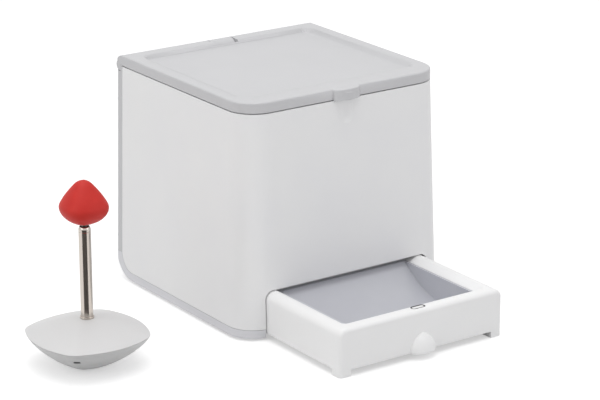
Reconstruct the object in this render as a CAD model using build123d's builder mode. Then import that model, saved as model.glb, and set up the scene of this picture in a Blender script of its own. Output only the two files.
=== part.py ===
from build123d import *
import math
import os

os.makedirs("parts", exist_ok=True)

# Remote treat dispenser with its touch target.
# Millimetres, +Z up, front towards -Y. The origin is the middle of the dispenser's
# base, on the surface that it stands on. The drawer is out and the lid is shut.

# Driving sizes of the body
lid_width = 170.0
lid_depth = 167.4
overall_height = 172.5
lid_thickness = 7.6
side_draft = 0.0273
wall = 2.6
front_corner_radius = 21.0
rear_reach = 2.7
rear_corner_radius = 3.0
lower_back_radius = 22.0
foot_height = 1.9
foot_radius = 6.5
foot_inset = 0.8
base_floor = 2.4
band_height = 6.0
rear_band = 7.9
rear_split_height = 19.1
lid_gap = 0.8
seam_gap = 0.3
clearance = 0.4

seam_z = overall_height - lid_thickness
body_top = seam_z - lid_gap
body_bottom = foot_height
floor_top = body_bottom + base_floor
band_top = body_bottom + band_height
rear_face = lid_depth / 2 + rear_reach
rear_inner = rear_face - wall
band_front = rear_face - rear_band
rear_split = body_bottom + rear_split_height
reach = lid_depth
rib_half = 1.0

# Lid
lid_edge_radius = 1.3
recess_side_margin = 10.0
recess_front_margin = 17.0
recess_rear_margin = 14.7
recess_depth = 2.2
collar_gap = 0.5
seal_grow = 0.8
seal_width = 3.0
back_overhang = 0.8
recess_slope = 1.8
recess_corner_radius = 7.0
lid_skirt = 3.0
lid_skin = 2.0
collar_wall = 2.2
collar_drop = 5.0
tab_half_width = 11.3
tab_projection = 5.0
tab_drop = 1.7

# Hinge along the top of the back
back_round_radius = 9.5
back_round_y = rear_face + 0.8 - back_round_radius
back_round_z = overall_height - back_round_radius
hinge_y = rear_face - 3.1
hinge_z = overall_height - 8.3
barrel_radius = 3.9
barrel_clearance = 0.5
knuckle_width = 19.2
knuckle_side_gap = 0.6
knuckle_front_gap = 0.4
hinge_pin_radius = 1.25
hinge_pin_length = 44.0
pin_running_gap = 0.05

# Hopper
hopper_wall = 2.4
hopper_side_gap = 2.4
hopper_rear_y = 60.5
hopper_corner_radius = 17.0
hopper_flange = 2.0
hopper_flange_drop = 0.5
hopper_straight_height = 22.0
funnel_bottom_z = 106.0
well_radius = 66.0
hopper_floor_z = 84.0
hopper_floor = 2.2
hopper_flange_reach = 2.0
well_flat = 0.5
tongue_half = 12.0
ledge_height = 2.5
ledge_width = 2.0

# Dispensing disc, its shaft and drive
disc_y = -8.0
disc_rim_gap = 1.3
disc_thickness = 14.0
disc_lift = 0.8
pocket_count = 8
pocket_radius = 13.5
pocket_circle = 44.0
hub_radius = 26.0
hub_height = 12.0
shaft_radius = 4.0
running_gap = 0.05
bush_radius = 6.5
bush_flange_radius = 9.0
bush_drop = 1.6
shield_gap = 1.0
shield_thickness = 2.0
shield_half_angle = 27.0
stirrer_length = 44.0
stirrer_width = 5.0
stirrer_height = 6.0
gear_module = 1.0
gear_teeth = 44
gear_width = 5.0
pinion_teeth = 12
pinion_angle = 30.0
mesh_gap = 0.12
motor_radius = 12.5
motor_length = 26.0
motor_shaft_radius = 1.5
drop_radius = 14.5
pressure_angle = math.radians(20)
root_share = 1.25
centre_slack = 0.05
gear_lift = 1.6
hub_top_radius = 11.0
pocket_lead = 1.2
shaft_bottom = 71.0
shaft_top = 108.0
bush_step = 0.1
stirrer_peg = 2.0
web_holes = 6
web_hole_circle = 13.0
web_hole_radius = 4.0
shaft_grip = 9.0
motor_step = 1.0
terminal_half = 1.5
terminal_length = 4.0

# Deck that carries the drive
deck_z = 70.0
deck_thickness = 2.4
deck_rear_y = 41.5
deck_side_gap = 1.5
pillar_radius = 4.0
pillar_x = 79.0
pillar_rows = (-40.0, 30.0)
screw_core_radius = 1.3
screw_head_radius = 3.0
screw_head_height = 1.8
screw_length = 9.0
head_recess = 2.0
deck_boss_radius = 7.0
deck_boss_height = 1.0

# Chute
chute_wall = 1.8
chute_half_width = 16.5
chute_mouth_half_width = 20.0
chute_half_depth = 16.0
chute_flange = 3.0
chute_drop = 1.5

# Drawer bay
bay_wall = 2.4
bay_roof = 2.2
bay_roof_z = 36.3
bay_front_y = -82.8
bay_rear_gap = 1.5
drawer_side_gap = 1.0

# Drawer
drawer_width = 140.8
drawer_length = 124.0
drawer_front_y = -175.2
drawer_bottom = 5.0
drawer_top = 35.2
drawer_wall = 2.4
drawer_side_round = 6.0
drawer_corner_radius = 3.0
leg_width = 9.4
leg_depth = 9.2
door_gap = 0.8
door_corner_radius = 6.0
pocket_half_width = 56.4
pocket_front_margin = 13.8
pocket_wall = 2.0
pocket_length = 82.7
pocket_floor_z = 7.8
pocket_corner_radius = 2.0
lip_drop = 3.4
lip_run = 5.6
grip_half_width = 10.6
grip_projection = 6.4
grip_height = 13.6
plug_length = 11.0
plug_width = 4.4
plug_depth = 1.2
plug_gap = 0.4
plug_margin = 6.0

# Liner: a trough whose floor is an arc in the side view
liner_gap = 0.3
liner_wall = 1.7
liner_arc_radius = 75.0
liner_floor_z = 11.9
liner_arc_y = -133.6
liner_rim_drop = 3.6
liner_rear_lip = 4.0
liner_corner_radius = 2.0
liner_foot_sink = 0.4
liner_foot_x = 40.0
liner_foot_reach = 14.0
liner_foot_radius = 3.0

# Drawer drive
rack_teeth = 33
rack_depth = 2.4
rack_height = 5.0
rack_side_margin = 1.2
rack_lift = 1.0
runner_width = 3.0
runner_gap = 0.1
shaft_boss_radius = 3.2
shaft_boss_height = 1.4
rack_rail_width = 8.4
rack_rail_height = 8.0
tray_pinion_teeth = 14
tray_pinion_y = -62.0
tray_motor_radius = 9.0
tray_motor_length = 28.0

# Battery compartment: four D cells in two rows
cell_radius = 17.1
cell_length = 61.5
cell_gap = 0.5
cell_clearance = 0.3
contact_space = 3.5
box_wall = 1.7
nub_radius = 4.75
nub_height = 1.5
door_margin = 2.5
door_rebate = 1.5
door_fit = 0.4
battery_door_bottom = 23.0
contact_half = 7.5
contact_thickness = 0.5
cell_touch = 0.1
catch_width = 14.0

# Electronics
board_thickness = 1.6
board_size = (44.0, 54.0)
board_centre = (-46.0, 6.0)
board_hole_inset = 3.5
board_components = ((0, 6, 14, 14, 1.6), (-12, -14, 9, 7, 5.0), (12, -16, 6, 6, 3.0),
                    (-13, 14, 6, 12, 2.2), (13, 12, 8, 5, 4.0), (2, -18, 10, 6, 1.2))
standoff_height = 6.0
standoff_radius = 2.5
speaker_radius = 14.0
speaker_depth = 5.5
speaker_x = -45.0
rear_controls_z = 112.0
grille_slots = 5
grille_pitch = 4.4
grille_slot_width = 2.0
grille_slot_length = 20.0
button_x = 45.0
button_radius = 6.0
button_flange = 1.5
button_proud = 1.0
button_travel = 1.0
ring_wall = 1.5
switch_board_y = 70.5
switch_board_half = 15.0
switch_post_reach = 11.5
switch_post_radius = 2.5
switch_half = 4.0

# Touch target
target_x = -195.3
target_y = -53.2
target_half = 40.1
target_foot_half = 9.3
target_rim_z = 23.0
target_dome = 10.8
target_wall = 2.0
side_bow = 1.53
corner_share = 0.375
bowl_spread = 1.42
bowl_rise = 1.61
bowl_sections = 6
target_seam = 0.12
dome_power = 1.69
dome_flat_share = 0.12
dome_sections = 7
pole_radius = 4.25
pole_wall = 0.5
pole_top_z = 97.4
pole_lip = 0.35
pole_lip_height = 1.6
middle_radius = 3.3
inner_radius = 2.3
pole_foot_z = 20.0
section_step = 5.0
ferrule_radius = 4.9
ferrule_height = 1.5
tip_half = 15.4
tip_bottom_z = 100.8
tip_corner_share = 0.62
core_radius = 4.0
core_top = 116.5
inner_top = 110.5
stop_height = 2.0
ferrule_round = 0.4
foot_pad_radius = 8.0
foot_pad_height = 1.0
foot_pad_inset = 0.7
target_screw_reach = 8.4
target_post_radius = 3.6
target_core_radius = 1.0
target_head_radius = 2.2
target_head_height = 1.6
target_split_z = 14.0
target_head_z = 3.2
post_reach = 8.2
lip_height = 2.2
lip_inset = 3.6
lip_wall = 1.5
socket_radius = 6.5
ballast_height = 6.0
ballast_bottom_radius = 8.0
ballast_radius = 19.0
target_board_half = (20.0, 10.5)
chip_x = 11.0
chip_size = 7.0
chip_height = 1.2
target_cell_end = 9.0
target_cell_half = 4.5
target_cell_height = 5.0
socket_angle = 228.5
socket_distance = 37.6
socket_z = 15.7
socket_width = 4.6
socket_height = 1.8
socket_depth = 16.0
socket_body = 7.0
socket_sink = 5.0

# Fixings between shell, base and back
shell_boss_inset = 2.5
shell_boss_radius = 4.0
shell_boss_length = 12.0
shell_boss_rows = (32.0, 138.0)
base_boss_radius = 3.8
base_boss_top = 20.0
base_screw_x = 82.2
base_screw_rows = (-20.0, 10.0)
foot_x = 70.0
foot_rows = (-64.0, 50.0)
scoop_radius = 20.0
scoop_half_width = 6.5
scoop_length = 18.0
shelf_drop = 10.9
shelf_thickness = 2.4


def half_width(z):
    """Half the width of the body's outside at height z."""
    return lid_width / 2 + (seam_z - z) * side_draft


def front_face(z):
    """The y of the body's front at height z."""
    return -lid_depth / 2 - (seam_z - z) * side_draft


def body_plan(z, inset):
    """Plan outline of the body at height z, moved inwards by inset."""
    front = front_face(z) + inset
    rear = rear_face - inset
    with BuildSketch(Plane.XY.offset(z)) as plan:
        with Locations((0, (front + rear) / 2)):
            Rectangle(2 * (half_width(z) - inset), rear - front)
        fillet(plan.vertices().group_by(Axis.Y)[0], front_corner_radius - inset)
        if inset < rear_corner_radius:
            fillet(plan.vertices().group_by(Axis.Y)[-1], rear_corner_radius - inset)
    return plan.sketch


def body_block(inset, low, high, mode=Mode.ADD):
    """The drafted body between two heights, moved inwards by inset."""
    loft([body_plan(low, inset), body_plan(high, inset)], ruled=True, mode=mode)


def side_block(rear, bottom, top, radius, mode):
    """A full-width block with the body's side view, round below the back."""
    with BuildSketch(Plane.YZ) as profile:
        with Locations(((rear - reach) / 2, (bottom + top) / 2)):
            Rectangle(rear + reach, top - bottom)
        fillet(profile.vertices().group_by(Axis.X)[-1].sort_by(Axis.Y)[0], radius)
    extrude(profile.sketch, amount=lid_width, both=True, mode=mode)


def mouth_plan(z, grow):
    """Plan outline of the hopper's mouth at height z, moved outwards by grow."""
    front = hopper_front - grow
    rear = hopper_rear_y + grow
    with BuildSketch(Plane.XY.offset(z)) as plan:
        with Locations((0, (front + rear) / 2)):
            Rectangle(2 * (hopper_half + grow), rear - front)
        fillet(plan.vertices(), hopper_corner_radius + grow)
    return plan.sketch


def well_plan(z, grow):
    """Plan outline of the round well below the hopper, moved outwards by grow."""
    radius = well_radius + grow
    with BuildSketch(Plane.XY.offset(z)) as plan:
        with Locations((0, disc_y)):
            Rectangle(2 * radius, 2 * radius)
        fillet(plan.vertices(), radius - well_flat)
    return plan.sketch


def block(x, y, z, mode=Mode.ADD):
    """A box between two limits on each axis."""
    with Locations(((x[0] + x[1]) / 2, (y[0] + y[1]) / 2, (z[0] + z[1]) / 2)):
        Box(x[1] - x[0], y[1] - y[0], z[1] - z[0], mode=mode)


def rod(radius, x, y, low, high, mode=Mode.ADD):
    """An upright cylinder between two heights."""
    with Locations((x, y, (low + high) / 2)):
        Cylinder(radius, high - low, mode=mode)


def rod_y(radius, x, z, low, high, mode=Mode.ADD):
    """A cylinder along Y between two limits."""
    with Locations((x, (low + high) / 2, z)):
        Cylinder(radius, high - low, rotation=(90, 0, 0), mode=mode)


def rod_x(radius, y, z, low, high, mode=Mode.ADD):
    """A cylinder along X between two limits."""
    with Locations(((low + high) / 2, y, z)):
        Cylinder(radius, high - low, rotation=(0, 90, 0), mode=mode)


def involute(radius, base_radius):
    """The involute angle of a flank at the given radius."""
    roll = math.sqrt(max((radius / base_radius) ** 2 - 1, 0))
    return roll - math.atan(roll)


def gear_points(centre, teeth, turn):
    """Outline of an involute gear with a tooth centred on the angle turn."""
    pitch_radius = teeth * gear_module / 2
    base_radius = pitch_radius * math.cos(pressure_angle)
    root_radius = pitch_radius - root_share * gear_module
    tip_radius = pitch_radius + gear_module
    flank_start = max(root_radius, base_radius)
    offset = math.pi / (2 * teeth) - mesh_gap / (2 * pitch_radius)
    offset = offset + involute(pitch_radius, base_radius)
    steps = [flank_start + (tip_radius - flank_start) * n / 4 for n in range(5)]
    flank = [(r, offset - involute(r, base_radius)) for r in steps]
    root_half = min(flank[0][1], 0.8 * math.pi / teeth)
    right = [(root_radius, -root_half)] + [(r, -a) for r, a in flank]
    left = [(r, a) for r, a in reversed(flank)] + [(root_radius, root_half)]
    if root_radius > base_radius:
        right = right[1:]
        left = left[:-1]
    points = []
    for number in range(teeth):
        middle = math.radians(turn) + 2 * math.pi * number / teeth
        for radius, angle in right + left:
            x = centre[0] + radius * math.cos(middle + angle)
            y = centre[1] + radius * math.sin(middle + angle)
            points.append((x, y))
    return points


def gear_blank(centre, teeth, turn, low, high):
    """A gear between two heights."""
    with BuildSketch(Plane.XY.offset(low)) as outline:
        with BuildLine():
            Polyline(*gear_points(centre, teeth, turn), close=True)
        make_face()
    extrude(outline.sketch, amount=high - low)


def squircle(z, half, corner):
    """A square with bowed sides and round corners at height z, on the target's axis."""
    side_radius = side_bow * half
    shift = side_radius - half
    with BuildSketch(Plane.XY.offset(z)) as outline:
        with Locations((target_x - shift, target_y)):
            Circle(side_radius)
        for x, y in ((shift, 0), (0, shift), (0, -shift)):
            with Locations((target_x + x, target_y + y)):
                Circle(side_radius, mode=Mode.INTERSECT)
        fillet(outline.vertices(), corner * half)
    return outline.sketch


def bowl(half, low, high, mode=Mode.ADD):
    """The target's bowl from its small foot up to its rim."""
    foot_share = target_foot_half / target_half
    sections = []
    for number in range(bowl_sections + 1):
        angle = number * math.pi / (2 * bowl_sections)
        share = foot_share + (1 - foot_share) * math.sin(angle) ** bowl_spread
        height = low + (high - low) * (1 - math.cos(angle) ** bowl_rise)
        sections.append(squircle(height, half * share, corner_share))
    loft(sections, mode=mode)


def dome(half, low, rise, mode=Mode.ADD):
    """The target's domed top above its rim."""
    sections = []
    full_rise = rise / (1 - dome_flat_share ** dome_power)
    for number in range(dome_sections + 1):
        share = 1 - (1 - dome_flat_share) * number / dome_sections
        height = low + full_rise * (1 - share ** dome_power)
        sections.append(squircle(height, half * share, corner_share))
    loft(sections, mode=mode)


def screw_up(x, y, head_z):
    """A screw driven upwards from a head below."""
    rod(screw_head_radius, x, y, head_z, head_z + screw_head_height)
    rod(screw_core_radius, x, y, head_z, head_z + screw_head_height + screw_length)


# Places that several pieces share
drawer_half = drawer_width / 2
drawer_rear_y = drawer_front_y + drawer_length
drawer_travel = front_face((drawer_bottom + drawer_top) / 2) - drawer_front_y
door_half_width = drawer_half + door_gap
door_top = drawer_top + door_gap
bay_half = drawer_half + drawer_side_gap
bay_rear_y = drawer_rear_y + drawer_travel + bay_rear_gap
bay_roof_top = bay_roof_z + bay_roof
leg_clear_y = drawer_front_y + leg_depth + drawer_travel + door_gap
hopper_half = lid_width / 2 - wall - hopper_side_gap
hopper_front = -lid_depth / 2 + wall + hopper_side_gap
hopper_top = body_top - hopper_flange_drop
hopper_straight_z = hopper_top - hopper_straight_height
ledge_top = hopper_top - hopper_flange
hinge_scoop_radius = barrel_radius + barrel_clearance
pinion_reach = gear_module * (gear_teeth + pinion_teeth) / 2 + centre_slack
motor_x = pinion_reach * math.cos(math.radians(pinion_angle))
motor_y = disc_y + pinion_reach * math.sin(math.radians(pinion_angle))
gear_low = deck_z + deck_thickness + gear_lift
gear_high = gear_low + gear_width
disc_low = hopper_floor_z + hopper_floor + disc_lift
disc_high = disc_low + disc_thickness
shield_low = disc_high + shield_gap
shield_high = shield_low + shield_thickness
drop_y = disc_y - pocket_circle
rack_tip_x = drawer_half - rack_side_margin
rack_pitch_x = rack_tip_x - gear_module
rack_root_x = rack_pitch_x - root_share * gear_module
rack_back_x = rack_root_x - rack_depth
rack_low = drawer_bottom + rack_lift
rack_high = rack_low + rack_height
tray_pinion_x = rack_pitch_x + tray_pinion_teeth * gear_module / 2 + centre_slack
tooth_pitch = math.pi * gear_module
rack_rear_y = tray_pinion_y + 3 * tooth_pitch
rack_front_y = rack_rear_y - rack_teeth * tooth_pitch
cell_y = rear_face - lower_back_radius
lower_cell_z = body_bottom + lower_back_radius
upper_cell_z = lower_cell_z + 2 * cell_radius + cell_gap
cell_space = cell_radius + cell_clearance
box_shell = cell_space + box_wall
box_half = cell_length + contact_space + box_wall
battery_door_half = box_half - box_wall
battery_door_top = upper_cell_z + cell_space - door_margin
screw_hole_radius = screw_core_radius + clearance
head_recess_radius = screw_head_radius + clearance
feet = [(x, y) for x in (-foot_x, foot_x) for y in foot_rows]
base_screw_places = [(x, y) for x in (-base_screw_x, base_screw_x) for y in base_screw_rows]
pillars = [(x, y) for x in (-pillar_x, pillar_x) for y in pillar_rows]

# Front shell: left, front and right walls in one drafted moulding
scoop_depth = scoop_radius - math.sqrt(scoop_radius**2 - scoop_half_width**2)
scoop_z = seam_z - scoop_length + scoop_half_width
scoop_y = front_face(scoop_z) + scoop_depth - scoop_radius
shell_rear = band_front - seam_gap
shell_bottom = band_top + seam_gap

with BuildPart() as front_shell:
    body_block(0, body_bottom, body_top)
    body_block(wall, body_bottom, body_top, Mode.SUBTRACT)
    body_block(wall - seam_gap, ledge_top - ledge_height, ledge_top)
    body_block(wall + ledge_width, ledge_top - ledge_height, ledge_top, Mode.SUBTRACT)
    side_block(shell_rear, shell_bottom, body_top, lower_back_radius - rear_band,
               Mode.INTERSECT)
    for side in (-1, 1):
        for z in shell_boss_rows:
            x = side * (half_width(z) - wall - shell_boss_inset)
            rod_y(shell_boss_radius, x, z, shell_rear - shell_boss_length, shell_rear)
            rod_y(screw_core_radius, x, z, shell_rear - screw_length, shell_rear,
                  Mode.SUBTRACT)
    for x, y in base_screw_places:
        side = math.copysign(1, x)
        rib_end = side * (half_width(base_boss_top) - wall / 2)
        rod(base_boss_radius, x, y, floor_top, base_boss_top)
        block(sorted((x, rib_end)), (y - rib_half, y + rib_half),
              (shell_bottom, base_boss_top))
        rod(screw_core_radius, x, y, floor_top, floor_top + screw_length, Mode.SUBTRACT)
    with BuildSketch(Plane.XZ.offset(-bay_front_y)) as doorway:
        with Locations((0, (body_bottom + door_top) / 2)):
            Rectangle(2 * door_half_width, door_top - body_bottom)
        fillet(doorway.vertices().group_by(Axis.Y)[-1], door_corner_radius)
    extrude(amount=front_corner_radius, mode=Mode.SUBTRACT)
    with Locations((0, scoop_y, scoop_z)):
        Sphere(scoop_radius, mode=Mode.SUBTRACT)
    rod(scoop_radius, 0, scoop_y, scoop_z, seam_z, Mode.SUBTRACT)
    rod_x(hinge_scoop_radius, hinge_y, hinge_z, -lid_width, lid_width, Mode.SUBTRACT)

front_shell.part.label = "front_shell"
export_step(front_shell.part, "parts/front_shell.step")

# Base tray: floor, low band all round and the foot of the back
cove_y = rear_face - lower_back_radius
cove_z = body_bottom + lower_back_radius
tray_top = rear_split - seam_gap

with BuildPart() as base_tray:
    body_block(0, body_bottom, tray_top)
    body_block(wall, floor_top, tray_top, Mode.SUBTRACT)
    with BuildSketch(Plane.YZ) as cove:
        with Locations(((cove_y + rear_inner) / 2, (floor_top + tray_top) / 2)):
            Rectangle(rear_inner - cove_y, tray_top - floor_top)
        with Locations((cove_y, cove_z)):
            Circle(lower_back_radius - base_floor, mode=Mode.SUBTRACT)
    extrude(amount=half_width(tray_top) - wall / 2, both=True)
    side_block(rear_face, body_bottom, reach, lower_back_radius, Mode.INTERSECT)
    side_block(band_front, band_top, reach, lower_back_radius - rear_band, Mode.SUBTRACT)
    for x, y in base_screw_places:
        rod(base_boss_radius + clearance, x, y, floor_top, band_top, Mode.SUBTRACT)
        rod(screw_hole_radius, x, y, body_bottom, floor_top, Mode.SUBTRACT)
        rod(head_recess_radius, x, y, body_bottom, body_bottom + head_recess,
            Mode.SUBTRACT)
    for x, y in pillars:
        rod(pillar_radius, x, y, floor_top, deck_z)
        rod(screw_core_radius, x, y, deck_z - screw_length, deck_z, Mode.SUBTRACT)
    for x, y in feet:
        rod(foot_radius, x, y, body_bottom, body_bottom + foot_inset, Mode.SUBTRACT)
    for side in (-1, 1):
        block(sorted((side * (drawer_half - runner_width), side * (drawer_half - rib_half))),
              (leg_clear_y + door_gap, bay_rear_y - bay_rear_gap),
              (floor_top, drawer_bottom - runner_gap))
    rod(shaft_boss_radius, tray_pinion_x, tray_pinion_y, floor_top,
        floor_top + shaft_boss_height)
    rod(motor_shaft_radius + running_gap, tray_pinion_x, tray_pinion_y,
        body_bottom + foot_inset, floor_top + shaft_boss_height, Mode.SUBTRACT)
    block((-door_half_width, door_half_width), (-reach, leg_clear_y),
          (body_bottom, band_top), Mode.SUBTRACT)

base_tray.part.label = "base_tray"
export_step(base_tray.part, "parts/base_tray.step")

# Rubber feet, one under each corner
with BuildPart() as rubber_feet:
    for x, y in feet:
        rod(foot_radius, x, y, 0, body_bottom + foot_inset)

rubber_feet.part.label = "rubber_feet"
export_step(rubber_feet.part, "parts/rubber_feet.step")

# Screws that hold the shell down to the base tray
with BuildPart() as base_screws:
    for x, y in base_screw_places:
        screw_up(x, y, body_bottom + head_recess - screw_head_height)

base_screws.part.label = "base_screws"
export_step(base_screws.part, "parts/base_screws.step")

# Rear cover: the back wall, its edges, the fixed hinge knuckle and the shelf under it
knuckle_half = knuckle_width / 2
web_front = back_round_y - back_round_radius
shelf_z = seam_z - shelf_drop
shelf_half = half_width(shelf_z) - wall - clearance
speaker_ring = speaker_radius + clearance

with BuildPart() as rear_cover:
    body_block(0, body_bottom, body_top)
    body_block(wall, body_bottom, body_top, Mode.SUBTRACT)
    block((-lid_width, lid_width), (band_front, reach), (rear_split, body_top),
          Mode.INTERSECT)
    side_block(rear_face, body_bottom, body_top, lower_back_radius, Mode.INTERSECT)
    block((-shelf_half, shelf_half), (web_front, rear_inner + seam_gap),
          (shelf_z, shelf_z + shelf_thickness))
    rod_x(hinge_scoop_radius, hinge_y, hinge_z, -lid_width, lid_width, Mode.SUBTRACT)
    with BuildSketch(Plane.YZ) as knuckle_profile:
        with Locations((back_round_y, back_round_z)):
            Circle(back_round_radius)
        with Locations((back_round_y, back_round_z - reach / 2)):
            Rectangle(reach, reach, mode=Mode.SUBTRACT)
        with Locations(((web_front + rear_face) / 2, (shelf_z + back_round_z) / 2)):
            Rectangle(rear_face - web_front, back_round_z - shelf_z)
    extrude(amount=knuckle_half, both=True)
    rod_x(hinge_pin_radius + pin_running_gap, hinge_y, hinge_z, -knuckle_half,
          knuckle_half, Mode.SUBTRACT)
    block((-battery_door_half + door_margin, battery_door_half - door_margin),
          (rear_inner, rear_face),
          (battery_door_bottom + door_margin, battery_door_top - door_margin),
          Mode.SUBTRACT)
    block((-battery_door_half, battery_door_half), (rear_face - door_rebate, rear_face),
          (battery_door_bottom, battery_door_top), Mode.SUBTRACT)
    rod_y(speaker_ring + ring_wall, speaker_x, rear_controls_z,
          rear_inner - speaker_depth, rear_inner)
    rod_y(speaker_ring, speaker_x, rear_controls_z, rear_inner - speaker_depth,
          rear_inner, Mode.SUBTRACT)
    for number in range(grille_slots):
        z = rear_controls_z + (number - (grille_slots - 1) / 2) * grille_pitch
        block((speaker_x - grille_slot_length / 2, speaker_x + grille_slot_length / 2),
              (rear_inner, rear_face),
              (z - grille_slot_width / 2, z + grille_slot_width / 2), Mode.SUBTRACT)
    rod_y(button_radius + clearance, button_x, rear_controls_z, rear_inner, rear_face,
          Mode.SUBTRACT)
    for x in (button_x - switch_post_reach, button_x + switch_post_reach):
        rod_y(switch_post_radius, x, rear_controls_z, switch_board_y + board_thickness,
              rear_inner + seam_gap)
    for side in (-1, 1):
        for z in shell_boss_rows:
            x = side * (half_width(z) - wall - shell_boss_inset)
            rod_y(shell_boss_radius, x, z, band_front, rear_face)
            rod_y(screw_hole_radius, x, z, band_front, rear_face, Mode.SUBTRACT)
            rod_y(head_recess_radius, x, z, rear_face - head_recess, rear_face,
                  Mode.SUBTRACT)

rear_cover.part.label = "rear_cover"
export_step(rear_cover.part, "parts/rear_cover.step")

# Screws through the rear cover
with BuildPart() as rear_screws:
    for side in (-1, 1):
        for z in shell_boss_rows:
            x = side * (half_width(z) - wall - shell_boss_inset)
            head_end = rear_face - head_recess + screw_head_height
            rod_y(screw_head_radius, x, z, head_end - screw_head_height, head_end)
            rod_y(screw_core_radius, x, z, shell_rear - screw_length + seam_gap,
                  head_end)

rear_screws.part.label = "rear_screws"
export_step(rear_screws.part, "parts/rear_screws.step")

# Lid with its tray-like top, inner collar, hinge barrel and front tab
lid_rear = rear_face + back_overhang
notch_half = knuckle_half + knuckle_side_gap
notch_front = web_front - knuckle_front_gap
lid_under = overall_height - recess_depth - lid_skin
recess_half = lid_width / 2 - recess_side_margin
recess_front = -lid_depth / 2 + recess_front_margin
recess_rear = lid_depth / 2 - recess_rear_margin
collar_grow = -hopper_wall - collar_gap
hollow_rear = notch_front - lid_skirt

with BuildPart() as lid:
    with BuildSketch(Plane.XY.offset(seam_z)) as lid_outline:
        with Locations((0, (lid_rear - lid_depth / 2) / 2)):
            Rectangle(lid_width, lid_rear + lid_depth / 2)
        fillet(lid_outline.vertices().group_by(Axis.Y)[0], front_corner_radius)
        fillet(lid_outline.vertices().group_by(Axis.Y)[-1], rear_corner_radius)
    extrude(amount=lid_thickness)
    fillet(lid.faces().sort_by(Axis.Z)[-1].edges(), lid_edge_radius)
    with BuildSketch(Plane.YZ) as back_round:
        with Locations((back_round_y + back_round_radius, overall_height)):
            Rectangle(2 * back_round_radius, 2 * back_round_radius)
        with Locations((back_round_y, back_round_z)):
            Circle(back_round_radius, mode=Mode.SUBTRACT)
    extrude(amount=lid_width, both=True, mode=Mode.SUBTRACT)
    rod_x(barrel_radius, hinge_y, hinge_z, -lid_width / 2 + barrel_clearance,
          lid_width / 2 - barrel_clearance)
    block((-lid_width, lid_width), (lid_rear, lid_rear + lid_thickness),
          (hinge_z - lid_thickness, overall_height), Mode.SUBTRACT)
    with BuildSketch(Plane.XY.offset(overall_height)) as recess_top:
        with Locations((0, (recess_front + recess_rear) / 2)):
            Rectangle(2 * recess_half, recess_rear - recess_front)
        fillet(recess_top.vertices(), recess_corner_radius)
    with BuildSketch(Plane.XY.offset(overall_height - recess_depth)) as recess_floor:
        with Locations((0, (recess_front + recess_rear) / 2)):
            Rectangle(2 * (recess_half - recess_slope),
                      recess_rear - recess_front - 2 * recess_slope)
        fillet(recess_floor.vertices(), recess_corner_radius - recess_slope)
    loft(ruled=True, mode=Mode.SUBTRACT)
    with BuildSketch(Plane.XY.offset(seam_z)) as hollow:
        with Locations((0, (hollow_rear + lid_skirt - lid_depth / 2) / 2)):
            Rectangle(lid_width - 2 * lid_skirt, hollow_rear - lid_skirt + lid_depth / 2)
        fillet(hollow.vertices().group_by(Axis.Y)[0], front_corner_radius - lid_skirt)
    extrude(amount=lid_under - seam_z, mode=Mode.SUBTRACT)
    for side in (-1, 1):
        block(sorted((side * (notch_half + lid_skirt), side * (lid_width / 2 - lid_skirt))),
              (hollow_rear + lid_skirt, hinge_y - barrel_radius - lid_skirt),
              (seam_z, lid_under), Mode.SUBTRACT)
    extrude(mouth_plan(seam_z - collar_drop, collar_grow),
            amount=lid_under - seam_z + collar_drop)
    extrude(mouth_plan(seam_z - collar_drop, collar_grow - collar_wall),
            amount=lid_under - seam_z + collar_drop, mode=Mode.SUBTRACT)
    with BuildSketch(Plane.XY.offset(seam_z - tab_drop)) as tab:
        with Locations((0, -lid_depth / 2)):
            Ellipse(tab_half_width, tab_projection)
    extrude(amount=lid_thickness + tab_drop - lid_edge_radius)
    block((-tab_half_width, tab_half_width),
          (front_face(seam_z - tab_drop) - clearance, -lid_depth / 2 + tab_projection),
          (seam_z - tab_drop, seam_z), Mode.SUBTRACT)
    block((-tab_half_width, tab_half_width),
          (-lid_depth / 2 + lid_skirt, -lid_depth / 2 + 2 * tab_projection),
          (seam_z, lid_under), Mode.SUBTRACT)
    block((-notch_half, notch_half), (notch_front, reach), (shelf_z, 2 * overall_height),
          Mode.SUBTRACT)
    rod_x(hinge_pin_radius, hinge_y, hinge_z, -hinge_pin_length / 2, hinge_pin_length / 2,
          Mode.SUBTRACT)

lid.part.label = "lid"
export_step(lid.part, "parts/lid.step")

# Soft seal above the rim of the hopper
with BuildPart() as lid_seal:
    extrude(mouth_plan(hopper_top + seam_gap, seal_grow), amount=lid_under - hopper_top - seam_gap)
    extrude(mouth_plan(hopper_top + seam_gap, seal_grow - seal_width),
            amount=lid_under - hopper_top - seam_gap, mode=Mode.SUBTRACT)

lid_seal.part.label = "lid_seal"
export_step(lid_seal.part, "parts/lid_seal.step")

# Hinge pin, pressed into the lid and running in the knuckle
with BuildPart() as hinge_pin:
    rod_x(hinge_pin_radius, hinge_y, hinge_z, -hinge_pin_length / 2, hinge_pin_length / 2)

hinge_pin.part.label = "hinge_pin"
export_step(hinge_pin.part, "parts/hinge_pin.step")

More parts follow.
